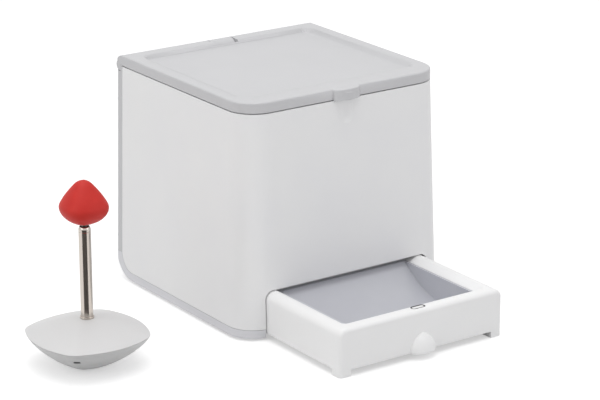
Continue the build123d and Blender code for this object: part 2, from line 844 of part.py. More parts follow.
# Hopper: a wide mouth that runs down to a round well
with BuildPart() as hopper:
    extrude(mouth_plan(hopper_straight_z, 0), amount=hopper_straight_height)
    extrude(mouth_plan(ledge_top, hopper_flange_reach), amount=hopper_flange)
    loft([well_plan(funnel_bottom_z, 0), mouth_plan(hopper_straight_z, 0)], ruled=True)
    extrude(well_plan(hopper_floor_z, 0), amount=funnel_bottom_z - hopper_floor_z)
    extrude(mouth_plan(hopper_straight_z, -hopper_wall), amount=hopper_straight_height,
            mode=Mode.SUBTRACT)
    loft([well_plan(funnel_bottom_z, -hopper_wall),
          mouth_plan(hopper_straight_z, -hopper_wall)], ruled=True, mode=Mode.SUBTRACT)
    extrude(well_plan(hopper_floor_z + hopper_floor, -hopper_wall),
            amount=funnel_bottom_z - hopper_floor_z - hopper_floor, mode=Mode.SUBTRACT)
    rod(drop_radius, 0, drop_y, hopper_floor_z, disc_low, Mode.SUBTRACT)
    rod(bush_radius, 0, disc_y, hopper_floor_z, disc_low, Mode.SUBTRACT)
    block((-tongue_half - seam_gap, tongue_half + seam_gap),
          (disc_y - well_radius, disc_y - well_radius + 2 * hopper_wall),
          (shield_low, shield_high + seam_gap / 2), Mode.SUBTRACT)

hopper.part.label = "hopper"
export_step(hopper.part, "parts/hopper.step")

# Drop shield: covers the pocket that stands over the drop hole
shield_outer = well_radius - hopper_wall - seam_gap
shield_edge = 2 * well_radius * math.tan(math.radians(shield_half_angle))

with BuildPart() as drop_shield:
    with BuildSketch(Plane.XY.offset(shield_low)) as sector:
        with Locations((0, disc_y)):
            Circle(shield_outer)
            Circle(hub_radius + shield_gap, mode=Mode.SUBTRACT)
        with BuildLine():
            Polyline((0, disc_y), (shield_edge, disc_y - 2 * well_radius),
                     (-shield_edge, disc_y - 2 * well_radius), close=True)
        make_face(mode=Mode.INTERSECT)
    extrude(amount=shield_thickness)
    block((-tongue_half, tongue_half), (disc_y - well_radius, disc_y - shield_outer + wall),
          (shield_low, shield_high))

drop_shield.part.label = "drop_shield"
export_step(drop_shield.part, "parts/drop_shield.step")

# Dispensing disc: a ring of pockets carried round by the shaft
with BuildPart() as dispensing_disc:
    rod(well_radius - hopper_wall - disc_rim_gap, 0, disc_y, disc_low, disc_high)
    with Locations((0, disc_y, 0)):
        with PolarLocations(pocket_circle, pocket_count, start_angle=-90):
            Cylinder(pocket_radius, 2 * disc_high, mode=Mode.SUBTRACT)
        with PolarLocations(pocket_circle, pocket_count, start_angle=-90):
            with Locations((0, 0, disc_high - pocket_lead / 2)):
                Cone(pocket_radius, pocket_radius + pocket_lead, pocket_lead,
                     mode=Mode.SUBTRACT)
    rod(shaft_radius, 0, disc_y, disc_low, disc_high, Mode.SUBTRACT)

dispensing_disc.part.label = "dispensing_disc"
export_step(dispensing_disc.part, "parts/dispensing_disc.step")

# Hub pressed on the shaft above the disc, which sheds the kibble into the pockets
with BuildPart() as disc_hub:
    rod(hub_radius, 0, disc_y, disc_high, shield_high)
    with Locations((0, disc_y, (shield_high + disc_high + hub_height) / 2)):
        Cone(hub_radius, hub_top_radius, disc_high + hub_height - shield_high)
    rod(shaft_radius, 0, disc_y, disc_high, shaft_top, Mode.SUBTRACT)
    rod(stirrer_peg, 0, disc_y, shaft_top, disc_high + hub_height, Mode.SUBTRACT)

disc_hub.part.label = "disc_hub"
export_step(disc_hub.part, "parts/disc_hub.step")

# Stirrer bar on top of the hub
stirrer_low = disc_high + hub_height

with BuildPart() as stirrer:
    with BuildSketch(Plane.XY.offset(stirrer_low)):
        with Locations((0, disc_y)):
            SlotOverall(stirrer_length, stirrer_width)
    extrude(amount=stirrer_height)
    fillet(stirrer.faces().sort_by(Axis.Z)[-1].edges(), stirrer_width / 4)
    rod(stirrer_peg, 0, disc_y, shaft_top, stirrer_low)

stirrer.part.label = "stirrer"
export_step(stirrer.part, "parts/stirrer.step")

# Shaft of the disc
with BuildPart() as disc_shaft:
    rod(shaft_radius, 0, disc_y, shaft_bottom, shaft_top)

disc_shaft.part.label = "disc_shaft"
export_step(disc_shaft.part, "parts/disc_shaft.step")

# Bush in the hopper's floor
with BuildPart() as shaft_bushing:
    rod(bush_radius, 0, disc_y, hopper_floor_z - bush_drop, disc_low - bush_step)
    rod(bush_flange_radius, 0, disc_y, hopper_floor_z - bush_drop, hopper_floor_z)
    rod(shaft_radius + running_gap, 0, disc_y, hopper_floor_z - bush_drop, disc_low,
        Mode.SUBTRACT)

shaft_bushing.part.label = "shaft_bushing"
export_step(shaft_bushing.part, "parts/shaft_bushing.step")

# Drive gear on the disc's shaft
with BuildPart() as drive_gear:
    gear_blank((0, disc_y), gear_teeth, pinion_angle, gear_low, gear_high)
    rod(shaft_radius, 0, disc_y, gear_low, gear_high, Mode.SUBTRACT)
    with Locations((0, disc_y, gear_low + gear_width / 2)):
        with PolarLocations(web_hole_circle, web_holes):
            Cylinder(web_hole_radius, gear_width, mode=Mode.SUBTRACT)

drive_gear.part.label = "drive_gear"
export_step(drive_gear.part, "parts/drive_gear.step")

# Motor pinion, its shaft and the gear motor hung below the deck
with BuildPart() as motor_pinion:
    gear_blank((motor_x, motor_y), pinion_teeth, pinion_angle + 180 + 180 / pinion_teeth,
               gear_low, gear_high)
    rod(motor_shaft_radius, motor_x, motor_y, gear_low, gear_high, Mode.SUBTRACT)

motor_pinion.part.label = "motor_pinion"
export_step(motor_pinion.part, "parts/motor_pinion.step")

with BuildPart() as motor_shaft:
    rod(motor_shaft_radius, motor_x, motor_y, deck_z - shaft_grip, gear_high)

motor_shaft.part.label = "motor_shaft"
export_step(motor_shaft.part, "parts/motor_shaft.step")

with BuildPart() as gear_motor:
    rod(motor_radius, motor_x, motor_y, deck_z - motor_length / 2, deck_z)
    rod(motor_radius - motor_step, motor_x, motor_y, deck_z - motor_length,
        deck_z - motor_length / 2)
    for x in (motor_x - motor_radius / 3, motor_x + motor_radius / 3):
        block((x - terminal_half, x + terminal_half),
              (motor_y - terminal_half / 3, motor_y + terminal_half / 3),
              (deck_z - motor_length - terminal_length, deck_z - motor_length))
    rod(motor_shaft_radius + running_gap, motor_x, motor_y,
        deck_z - shaft_grip - seam_gap, deck_z, Mode.SUBTRACT)

gear_motor.part.label = "gear_motor"
export_step(gear_motor.part, "parts/gear_motor.step")

# Deck between the drawer bay and the hopper
deck_top = deck_z + deck_thickness
chute_outer = chute_half_depth + chute_wall

with BuildPart() as drive_deck:
    extrude(body_plan(deck_z, wall + deck_side_gap), amount=deck_thickness)
    block((-lid_width, lid_width), (deck_rear_y, reach), (deck_z, deck_top), Mode.SUBTRACT)
    rod(deck_boss_radius, 0, disc_y, deck_top, deck_top + deck_boss_height)
    rod(shaft_radius + running_gap, 0, disc_y, shaft_bottom - seam_gap,
        deck_top + deck_boss_height, Mode.SUBTRACT)
    rod(motor_shaft_radius + clearance, motor_x, motor_y, deck_z, deck_top, Mode.SUBTRACT)
    block((-chute_mouth_half_width - chute_wall, chute_mouth_half_width + chute_wall),
          (drop_y - chute_outer - clearance, drop_y + chute_outer + clearance),
          (deck_z, deck_top), Mode.SUBTRACT)
    for x, y in pillars:
        rod(screw_hole_radius, x, y, deck_z, deck_top, Mode.SUBTRACT)

drive_deck.part.label = "drive_deck"
export_step(drive_deck.part, "parts/drive_deck.step")

# Screws that hold the deck on its pillars
with BuildPart() as deck_screws:
    for x, y in pillars:
        rod(screw_head_radius, x, y, deck_top, deck_top + screw_head_height)
        rod(screw_core_radius, x, y, deck_top + deck_thickness - screw_length, deck_top)

deck_screws.part.label = "deck_screws"
export_step(deck_screws.part, "parts/deck_screws.step")

# Chute from the drop hole to the drawer
chute_top = hopper_floor_z - chute_drop
chute_low = bay_roof_z + seam_gap


def chute_plan(z, half, grow):
    """Rectangular opening of the chute at height z."""
    with BuildSketch(Plane.XY.offset(z)) as plan:
        with Locations((0, drop_y)):
            Rectangle(2 * (half + grow), 2 * (chute_half_depth + grow))
    return plan.sketch


with BuildPart() as treat_chute:
    loft([chute_plan(chute_low, chute_half_width, chute_wall),
          chute_plan(chute_top, chute_mouth_half_width, chute_wall)], ruled=True)
    block((-chute_mouth_half_width - chute_wall - chute_flange,
           chute_mouth_half_width + chute_wall + chute_flange),
          (drop_y - chute_half_depth / 2, drop_y + chute_half_depth / 2),
          (deck_top, deck_top + chute_wall))
    loft([chute_plan(chute_low, chute_half_width, 0),
          chute_plan(chute_top, chute_mouth_half_width, 0)], ruled=True,
         mode=Mode.SUBTRACT)

treat_chute.part.label = "treat_chute"
export_step(treat_chute.part, "parts/treat_chute.step")

# Drawer bay: guides the drawer and carries its motor and the control board
bay_outer = bay_half + bay_wall
flange_outer = tray_pinion_x + tray_motor_radius
board_low = bay_roof_top + standoff_height
board_corners = [(board_centre[0] + sx * (board_size[0] / 2 - board_hole_inset),
                  board_centre[1] + sy * (board_size[1] / 2 - board_hole_inset))
                 for sx in (-1, 1) for sy in (-1, 1)]

with BuildPart() as drawer_bay:
    block((-bay_outer, bay_outer), (bay_front_y, bay_rear_y + bay_wall),
          (floor_top, bay_roof_top))
    block((-bay_half, bay_half), (bay_front_y, bay_rear_y), (floor_top, bay_roof_z),
          Mode.SUBTRACT)
    block((bay_outer - bay_wall, flange_outer),
          (tray_pinion_y - tray_motor_radius - wall, tray_pinion_y + tray_motor_radius + wall),
          (bay_roof_z, bay_roof_top))
    block((bay_half, bay_outer),
          (tray_pinion_y - tray_motor_radius, tray_pinion_y + tray_motor_radius),
          (floor_top, rack_high + rack_lift), Mode.SUBTRACT)
    rod(motor_shaft_radius + running_gap, tray_pinion_x, tray_pinion_y, bay_roof_z,
        bay_roof_top, Mode.SUBTRACT)
    rod(motor_shaft_radius + clearance, tray_pinion_x, tray_pinion_y, floor_top, bay_roof_z,
        Mode.SUBTRACT)
    block((-chute_half_width - chute_wall - clearance, chute_half_width + chute_wall + clearance),
          (drop_y - chute_outer - clearance, drop_y + chute_outer + clearance),
          (bay_roof_z, bay_roof_top), Mode.SUBTRACT)
    for x, y in board_corners:
        rod(standoff_radius, x, y, bay_roof_top, board_low)

drawer_bay.part.label = "drawer_bay"
export_step(drawer_bay.part, "parts/drawer_bay.step")

# Control board with its main components
with BuildPart() as control_board:
    with Locations((board_centre[0], board_centre[1], board_low + board_thickness / 2)):
        Box(board_size[0], board_size[1], board_thickness)
    for dx, dy, width, depth, height in board_components:
        x = board_centre[0] + dx
        y = board_centre[1] + dy
        block((x - width / 2, x + width / 2), (y - depth / 2, y + depth / 2),
              (board_low + board_thickness / 2, board_low + board_thickness + height))

control_board.part.label = "control_board"
export_step(control_board.part, "parts/control_board.step")

# Drawer that brings the treats out
pocket_front = drawer_front_y + pocket_front_margin
pocket_rear = pocket_front + pocket_length
pocket_edge_z = drawer_top - lip_drop
skin_z = drawer_top - drawer_wall
lip_floor = pocket_edge_z - drawer_wall
rail_inner = drawer_half - rack_rail_width


def pocket_opening(z, run, mode=Mode.ADD):
    """Opening of the drawer's pocket at height z, widened by run at sides and front."""
    with BuildSketch(Plane.XY.offset(z)) as opening:
        with Locations((0, (pocket_front - run + pocket_rear) / 2)):
            Rectangle(2 * (pocket_half_width + run), pocket_rear - pocket_front + run)
        fillet(opening.vertices().group_by(Axis.Y)[0], pocket_corner_radius + run / 2)
    return opening.sketch


def grip_plan(height):
    """Half-oval section of the pull at a height above its foot."""
    arch = (grip_half_width**2 + grip_height**2) / (2 * grip_half_width)
    half = math.sqrt(arch**2 - height**2) - (arch - grip_half_width)
    with BuildSketch(Plane.XY.offset(drawer_bottom + height)) as section:
        with Locations((0, drawer_front_y)):
            Ellipse(half, half * grip_projection / grip_half_width)
    return section.sketch


with BuildPart() as drawer:
    block((-drawer_half, drawer_half), (drawer_front_y, drawer_rear_y), (0, drawer_top))
    fillet(drawer.edges().filter_by(Axis.Y).group_by(Axis.Z)[-1], drawer_side_round)
    front_outline = drawer.faces().sort_by(Axis.Y)[0].edges().sort_by(Axis.Z)[1:]
    fillet(front_outline, drawer_corner_radius)
    block((-drawer_half + leg_width, drawer_half - leg_width), (drawer_front_y, drawer_rear_y),
          (0, drawer_bottom), Mode.SUBTRACT)
    block((-drawer_half, drawer_half), (drawer_front_y + leg_depth, drawer_rear_y),
          (0, drawer_bottom), Mode.SUBTRACT)
    loft([grip_plan(grip_height * share) for share in (0, 0.3, 0.6, 0.8, 0.93, 0.985)])
    block((-drawer_half + drawer_wall, drawer_half - drawer_wall),
          (drawer_front_y + drawer_wall, drawer_rear_y - drawer_wall),
          (drawer_bottom, skin_z), Mode.SUBTRACT)
    block((-pocket_half_width - lip_run - pocket_wall, pocket_half_width + lip_run + pocket_wall),
          (pocket_front - lip_run - pocket_wall, pocket_rear + pocket_wall),
          (lip_floor, skin_z))
    block((-pocket_half_width - pocket_wall, pocket_half_width + pocket_wall),
          (pocket_front - pocket_wall, pocket_rear + pocket_wall),
          (pocket_floor_z, lip_floor))
    for side in (-1, 1):
        block(sorted((side * (drawer_half - leg_width), side * (drawer_half - rib_half))),
              (drawer_front_y + drawer_wall, drawer_front_y + leg_depth),
              (drawer_bottom, drawer_bottom + leg_width))
    block((rail_inner, drawer_half - rib_half), (drawer_front_y + leg_depth, drawer_rear_y),
          (drawer_bottom, drawer_bottom + rack_rail_height))
    block((rack_back_x, drawer_half), (rack_front_y, drawer_rear_y), (rack_low, rack_high),
          Mode.SUBTRACT)
    loft([pocket_opening(pocket_edge_z, 0), pocket_opening(drawer_top, lip_run)],
         ruled=True, mode=Mode.SUBTRACT)
    extrude(pocket_opening(pocket_floor_z + pocket_wall, 0),
            amount=pocket_edge_z - pocket_floor_z - pocket_wall, mode=Mode.SUBTRACT)
    with BuildSketch(Plane.XY.offset(drawer_top - plug_depth)) as plug_seat:
        with Locations((0, drawer_front_y + plug_margin)):
            SlotOverall(plug_length + 2 * plug_gap, plug_width + 2 * plug_gap)
    extrude(amount=plug_depth, mode=Mode.SUBTRACT)

drawer.part.label = "drawer"
export_step(drawer.part, "parts/drawer.step")

# Small oval plug in the drawer's front rim
with BuildPart() as rim_plug:
    with BuildSketch(Plane.XY.offset(drawer_top - plug_depth)):
        with Locations((0, drawer_front_y + plug_margin)):
            SlotOverall(plug_length, plug_width)
    extrude(amount=plug_depth)

rim_plug.part.label = "rim_plug"
export_step(rim_plug.part, "parts/rim_plug.step")

# Lift-out liner of the drawer: a trough that rises towards its rear
liner_half = pocket_half_width - liner_gap
liner_front = pocket_front + liner_gap
liner_rear = pocket_rear - liner_gap
liner_top = drawer_top - liner_rim_drop
arc_z = liner_floor_z + liner_arc_radius


def trough(radius, front, half, mode=Mode.ADD):
    """A block under the liner's top that ends on an arc below."""
    with BuildSketch(Plane.YZ) as profile:
        with Locations((liner_arc_y, arc_z)):
            Circle(radius)
        with Locations(((front + liner_rear) / 2, liner_top / 2)):
            Rectangle(liner_rear - front, liner_top, mode=Mode.INTERSECT)
    extrude(profile.sketch, amount=half, both=True, mode=mode)


with BuildPart() as drawer_liner:
    trough(liner_arc_radius + liner_wall, liner_front, liner_half)
    fillet(drawer_liner.edges().filter_by(Axis.Z).group_by(Axis.Y)[0], liner_corner_radius)
    trough(liner_arc_radius, liner_front + liner_wall, liner_half - liner_wall, Mode.SUBTRACT)
    block((-liner_half, liner_half), (liner_rear - liner_rear_lip, liner_rear),
          (liner_top - liner_wall, liner_top))
    for x in (-liner_foot_x, liner_foot_x):
        for y in (liner_arc_y - liner_foot_reach, liner_arc_y + liner_foot_reach):
            rod(liner_foot_radius, x, y, pocket_floor_z + pocket_wall,
                liner_floor_z + liner_foot_sink)

drawer_liner.part.label = "drawer_liner"
export_step(drawer_liner.part, "parts/drawer_liner.step")

# Rack along the foot of the drawer's right wall
tooth_tip_half = tooth_pitch / 4 - mesh_gap / 2 - gear_module * math.tan(pressure_angle)
tooth_root_half = tooth_pitch / 4 - mesh_gap / 2 + root_share * gear_module * math.tan(pressure_angle)

with BuildPart() as tray_rack:
    rack_points = [(rack_back_x, rack_rear_y), (rack_back_x, rack_front_y),
                   (rack_root_x, rack_front_y)]
    for number in range(rack_teeth):
        middle = rack_front_y + (number + 0.5) * tooth_pitch
        rack_points.append((rack_root_x, middle - tooth_root_half))
        rack_points.append((rack_tip_x, middle - tooth_tip_half))
        rack_points.append((rack_tip_x, middle + tooth_tip_half))
        rack_points.append((rack_root_x, middle + tooth_root_half))
    rack_points.append((rack_root_x, rack_rear_y))
    with BuildSketch(Plane.XY.offset(rack_low)):
        with BuildLine():
            Polyline(*rack_points, close=True)
        make_face()
    extrude(amount=rack_height)

tray_rack.part.label = "tray_rack"
export_step(tray_rack.part, "parts/tray_rack.step")

# Tray pinion, its shaft and the motor that stands on the bay
with BuildPart() as tray_pinion:
    gear_blank((tray_pinion_x, tray_pinion_y), tray_pinion_teeth, 180,
               rack_low + seam_gap, rack_high - seam_gap)
    rod(motor_shaft_radius, tray_pinion_x, tray_pinion_y, rack_low, rack_high, Mode.SUBTRACT)

tray_pinion.part.label = "tray_pinion"
export_step(tray_pinion.part, "parts/tray_pinion.step")

with BuildPart() as tray_shaft:
    rod(motor_shaft_radius, tray_pinion_x, tray_pinion_y, body_bottom + foot_inset + seam_gap,
        bay_roof_top + shaft_grip)

tray_shaft.part.label = "tray_shaft"
export_step(tray_shaft.part, "parts/tray_shaft.step")

with BuildPart() as tray_motor:
    rod(tray_motor_radius, tray_pinion_x, tray_pinion_y, bay_roof_top,
        bay_roof_top + tray_motor_length / 2)
    rod(tray_motor_radius - motor_step, tray_pinion_x, tray_pinion_y,
        bay_roof_top + tray_motor_length / 2, bay_roof_top + tray_motor_length)
    rod(motor_shaft_radius + running_gap, tray_pinion_x, tray_pinion_y, bay_roof_top,
        bay_roof_top + shaft_grip + seam_gap, Mode.SUBTRACT)

tray_motor.part.label = "tray_motor"
export_step(tray_motor.part, "parts/tray_motor.step")

# Battery box with its contacts, cells and door
with BuildPart() as battery_box:
    with BuildSketch(Plane.YZ) as box_profile:
        with Locations((cell_y, (lower_cell_z + upper_cell_z) / 2)):
            Rectangle(2 * box_shell, upper_cell_z - lower_cell_z + 2 * box_shell)
        fillet(box_profile.vertices().group_by(Axis.X)[-1].sort_by(Axis.Y)[0],
               box_shell - seam_gap)
    extrude(amount=box_half, both=True)
    with BuildSketch(Plane.YZ) as cell_bay:
        with Locations((cell_y, (lower_cell_z + upper_cell_z) / 2)):
            Rectangle(2 * cell_space, upper_cell_z - lower_cell_z + 2 * cell_space)
        fillet(cell_bay.vertices().group_by(Axis.X)[-1].sort_by(Axis.Y)[0],
               cell_space - seam_gap)
    extrude(amount=box_half - box_wall, both=True, mode=Mode.SUBTRACT)
    block((-battery_door_half + door_margin, battery_door_half - door_margin),
          (cell_y + cell_space - box_wall, reach),
          (battery_door_bottom + door_margin, battery_door_top - door_margin),
          Mode.SUBTRACT)
    block((-box_half, box_half), (cell_y - box_shell, cell_y - box_shell / 4),
          (floor_top, lower_cell_z - cell_space - box_wall / 2))

battery_box.part.label = "battery_box"
export_step(battery_box.part, "parts/battery_box.step")

contact_end = box_half - box_wall
contact_face = contact_end - contact_thickness

with BuildPart() as battery_contacts:
    block((-contact_end, -contact_face), (cell_y - contact_half, cell_y + contact_half),
          (lower_cell_z - contact_half, upper_cell_z + contact_half))
    for z in (lower_cell_z, upper_cell_z):
        block((contact_face, contact_end), (cell_y - contact_half, cell_y + contact_half),
              (z - contact_half, z + contact_half))
    for side in (-1, 1):
        for z in (lower_cell_z, upper_cell_z):
            with Locations((side * (contact_face + cell_length + cell_touch) / 2, cell_y, z)):
                Cone(contact_half * 0.8, nub_radius * 0.8,
                     contact_face - cell_length - cell_touch,
                     rotation=(0, -90 * side, 0))

battery_contacts.part.label = "battery_contacts"
export_step(battery_contacts.part, "parts/battery_contacts.step")

with BuildPart() as battery_cells:
    for side, z in ((1, lower_cell_z), (-1, upper_cell_z)):
        for start in (-cell_length - cell_touch / 2, cell_touch / 2):
            low = start if side > 0 else -start - cell_length + nub_height
            high = low + cell_length - nub_height
            rod_x(cell_radius, cell_y, z, low, high)
            rod_x(nub_radius, cell_y, z, low - nub_height * (side < 0),
                  high + nub_height * (side > 0))

battery_cells.part.label = "battery_cells"
export_step(battery_cells.part, "parts/battery_cells.step")

with BuildPart() as battery_door:
    block((-battery_door_half + door_fit, battery_door_half - door_fit),
          (rear_face - door_rebate, rear_face),
          (battery_door_bottom + door_fit, battery_door_top - door_fit))
    block((-battery_door_half + door_margin + door_fit,
           battery_door_half - door_margin - door_fit),
          (rear_inner + seam_gap, rear_face - door_rebate),
          (battery_door_bottom + door_margin + door_fit,
           battery_door_top - door_margin - door_fit))
    with Locations((0, rear_face, battery_door_top - 2 * door_margin)):
        Box(catch_width, door_rebate, door_margin, mode=Mode.SUBTRACT)

battery_door.part.label = "battery_door"
export_step(battery_door.part, "parts/battery_door.step")

# Speaker behind the slots in the back
with BuildPart() as speaker:
    rod_y(speaker_radius, speaker_x, rear_controls_z, rear_inner - speaker_depth + seam_gap,
          rear_inner)
    rod_y(speaker_radius / 2, speaker_x, rear_controls_z,
          rear_inner - 2 * speaker_depth + seam_gap, rear_inner - speaker_depth + seam_gap)
    with Locations((speaker_x, rear_inner - speaker_depth / 4, rear_controls_z)):
        Cone(speaker_radius * 0.85, speaker_radius / 3, speaker_depth / 2,
             rotation=(90, 0, 0), mode=Mode.SUBTRACT)

speaker.part.label = "speaker"
export_step(speaker.part, "parts/speaker.step")

# Power button on the back with the switch behind it
flange_outer_y = rear_inner - seam_gap
flange_inner_y = flange_outer_y - button_flange

with BuildPart() as power_button:
    rod_y(button_radius, button_x, rear_controls_z, flange_inner_y, rear_face + button_proud)
    fillet(power_button.faces().sort_by(Axis.Y)[-1].edges(), button_proud / 2)
    rod_y(button_radius + button_flange, button_x, rear_controls_z, flange_inner_y,
          flange_outer_y)

power_button.part.label = "power_button"
export_step(power_button.part, "parts/power_button.step")

with BuildPart() as switch_board:
    block((button_x - switch_board_half, button_x + switch_board_half),
          (switch_board_y, switch_board_y + board_thickness),
          (rear_controls_z - switch_board_half / 2, rear_controls_z + switch_board_half / 2))
    block((button_x - switch_half, button_x + switch_half),
          (switch_board_y + board_thickness, flange_inner_y - 2 * button_travel),
          (rear_controls_z - switch_half, rear_controls_z + switch_half))
    rod_y(switch_half / 2, button_x, rear_controls_z, switch_board_y + board_thickness,
          flange_inner_y - button_travel - seam_gap)

switch_board.part.label = "switch_board"
export_step(switch_board.part, "parts/switch_board.step")

# Touch target: lower shell
shell_low = foot_pad_height - foot_pad_inset
target_screw_places = [(target_x + sx * target_screw_reach, target_y + sy * target_screw_reach)
                       for sx in (-1, 1) for sy in (-1, 1)]
socket_x = target_x + socket_distance * math.cos(math.radians(socket_angle))
socket_y = target_y + socket_distance * math.sin(math.radians(socket_angle))

with BuildPart() as target_lower_shell:
    bowl(target_half, shell_low, target_rim_z)
    bowl(target_half - target_wall, shell_low + target_wall, target_rim_z, Mode.SUBTRACT)
    for x, y in target_screw_places:
        rod(target_post_radius, x, y, shell_low, target_split_z)
        rod(target_core_radius + clearance, x, y, 0, target_split_z, Mode.SUBTRACT)
        rod(target_head_radius + clearance, x, y, 0, target_head_z, Mode.SUBTRACT)
    bowl(target_half, shell_low, target_rim_z, Mode.INTERSECT)
    rod(foot_pad_radius, target_x, target_y, 0, foot_pad_height, Mode.SUBTRACT)
    with Locations(Location((socket_x, socket_y, socket_z), (0, 0, socket_angle))):
        Box(socket_depth, socket_width, socket_height + clearance, mode=Mode.SUBTRACT)

target_lower_shell.part.label = "target_lower_shell"
export_step(target_lower_shell.part, "parts/target_lower_shell.step")

# Touch target: domed cover with the pole's socket
cover_low = target_rim_z + target_seam
dome_top = target_rim_z + target_dome

lip_half = target_half - lip_inset

with BuildPart() as target_cover:
    dome(target_half, cover_low, target_dome - target_seam)
    dome(lip_half - lip_wall, cover_low, target_dome - target_seam - target_wall, Mode.SUBTRACT)
    extrude(squircle(target_rim_z - lip_height, lip_half, corner_share),
            amount=lip_height + target_wall / 2)
    extrude(squircle(target_rim_z - lip_height, lip_half - lip_wall, corner_share),
            amount=lip_height + target_seam, mode=Mode.SUBTRACT)
    rod(socket_radius, target_x, target_y, pole_foot_z - target_wall,
        dome_top - target_wall / 2)
    rod(pole_radius, target_x, target_y, pole_foot_z, dome_top, Mode.SUBTRACT)
    for x, y in target_screw_places:
        rod(target_post_radius, x, y, target_split_z, target_rim_z + post_reach)
        rod(target_core_radius, x, y, target_split_z, target_split_z + screw_length,
            Mode.SUBTRACT)

target_cover.part.label = "target_cover"
export_step(target_cover.part, "parts/target_cover.step")

# Screws, weight, foot, board, cell and socket of the touch target
with BuildPart() as target_screws:
    for x, y in target_screw_places:
        rod(target_head_radius, x, y, target_head_z - target_head_height, target_head_z)
        rod(target_core_radius, x, y, target_head_z, target_split_z + screw_length / 2)

target_screws.part.label = "target_screws"
export_step(target_screws.part, "parts/target_screws.step")

ballast_low = shell_low + target_wall
ballast_high = ballast_low + ballast_height

with BuildPart() as target_ballast:
    with Locations((target_x, target_y, (ballast_low + ballast_high) / 2)):
        Cone(ballast_bottom_radius, ballast_radius, ballast_height)
    for x, y in target_screw_places:
        rod(target_post_radius + clearance, x, y, ballast_low, ballast_high, Mode.SUBTRACT)

target_ballast.part.label = "target_ballast"
export_step(target_ballast.part, "parts/target_ballast.step")

with BuildPart() as target_foot:
    rod(foot_pad_radius, target_x, target_y, 0, foot_pad_height)

target_foot.part.label = "target_foot"
export_step(target_foot.part, "parts/target_foot.step")

with BuildPart() as target_board:
    block((target_x - target_board_half[0], target_x + target_board_half[0]),
          (target_y - target_board_half[1], target_y + target_board_half[1]),
          (ballast_high, ballast_high + board_thickness))
    block((target_x + chip_x, target_x + chip_x + chip_size),
          (target_y - chip_size / 2, target_y + chip_size / 2),
          (ballast_high + board_thickness / 2, ballast_high + board_thickness + chip_height))
    for x, y in target_screw_places:
        rod(target_post_radius + clearance, x, y, ballast_high, ballast_high + board_thickness,
            Mode.SUBTRACT)

target_board.part.label = "target_board"
export_step(target_board.part, "parts/target_board.step")

target_cell_low = ballast_high + board_thickness

with BuildPart() as target_cell:
    block((target_x - target_board_half[0] + seam_gap, target_x + target_cell_end),
          (target_y - target_cell_half, target_y + target_cell_half),
          (target_cell_low, target_cell_low + target_cell_height))
    fillet(target_cell.edges().filter_by(Axis.Z), target_cell_height / 3)

target_cell.part.label = "target_cell"
export_step(target_cell.part, "parts/target_cell.step")

with BuildPart() as charge_socket:
    with Locations(Location((socket_x - socket_sink * math.cos(math.radians(socket_angle)),
                             socket_y - socket_sink * math.sin(math.radians(socket_angle)),
                             socket_z), (0, 0, socket_angle))):
        Box(socket_body, socket_width, socket_height)

charge_socket.part.label = "charge_socket"
export_step(charge_socket.part, "parts/charge_socket.step")

# Telescopic pole in three sections
with BuildPart() as pole_ferrule:
    rod(ferrule_radius, target_x, target_y, dome_top, dome_top + ferrule_height)
    fillet(pole_ferrule.faces().sort_by(Axis.Z)[-1].edges(), ferrule_round)
    rod(pole_radius, target_x, target_y, dome_top, dome_top + ferrule_height, Mode.SUBTRACT)

pole_ferrule.part.label = "pole_ferrule"
export_step(pole_ferrule.part, "parts/pole_ferrule.step")

with BuildPart() as pole_outer:
    rod(pole_radius, target_x, target_y, pole_foot_z, pole_top_z)
    fillet(pole_outer.faces().sort_by(Axis.Z)[-1].edges(), pole_lip)
    rod(pole_radius - pole_wall, target_x, target_y, pole_foot_z,
        pole_top_z - pole_lip_height, Mode.SUBTRACT)
    rod(middle_radius + running_gap, target_x, target_y, pole_foot_z, pole_top_z,
        Mode.SUBTRACT)

pole_outer.part.label = "pole_outer"
export_step(pole_outer.part, "parts/pole_outer.step")

middle_low = pole_foot_z + section_step
middle_top = pole_top_z - pole_lip

with BuildPart() as pole_middle:
    rod(middle_radius, target_x, target_y, middle_low, middle_top)
    rod(pole_radius - pole_wall - running_gap, target_x, target_y, middle_low,
        middle_low + stop_height)
    rod(middle_radius - pole_wall, target_x, target_y, middle_low,
        middle_top - pole_lip_height, Mode.SUBTRACT)
    rod(inner_radius + running_gap, target_x, target_y, middle_low, middle_top,
        Mode.SUBTRACT)

pole_middle.part.label = "pole_middle"
export_step(pole_middle.part, "parts/pole_middle.step")

inner_low = middle_low + section_step

with BuildPart() as pole_inner:
    rod(inner_radius, target_x, target_y, inner_low, inner_top)
    rod(middle_radius - pole_wall - running_gap, target_x, target_y, inner_low,
        inner_low + stop_height)

pole_inner.part.label = "pole_inner"
export_step(pole_inner.part, "parts/pole_inner.step")

# Soft tip that the animal touches, on its stiff core
tip_levels = ((0, 0.36), (2.2, 0.57), (4.4, 0.735), (6.6, 0.845), (10.8, 0.985),
              (12.6, 1.0), (15.1, 0.985), (19.3, 0.845), (23.6, 0.665), (27.9, 0.46),
              (31.4, 0.2), (32.6, 0.07))

with BuildPart() as target_tip:
    loft([squircle(tip_bottom_z + rise, tip_half * share, tip_corner_share)
          for rise, share in tip_levels])
    rod(core_radius, target_x, target_y, tip_bottom_z, core_top, Mode.SUBTRACT)

target_tip.part.label = "target_tip"
export_step(target_tip.part, "parts/target_tip.step")

with BuildPart() as tip_core:
    rod(core_radius, target_x, target_y, tip_bottom_z, core_top)
    rod(inner_radius, target_x, target_y, tip_bottom_z, inner_top, Mode.SUBTRACT)

tip_core.part.label = "tip_core"
export_step(tip_core.part, "parts/tip_core.step")
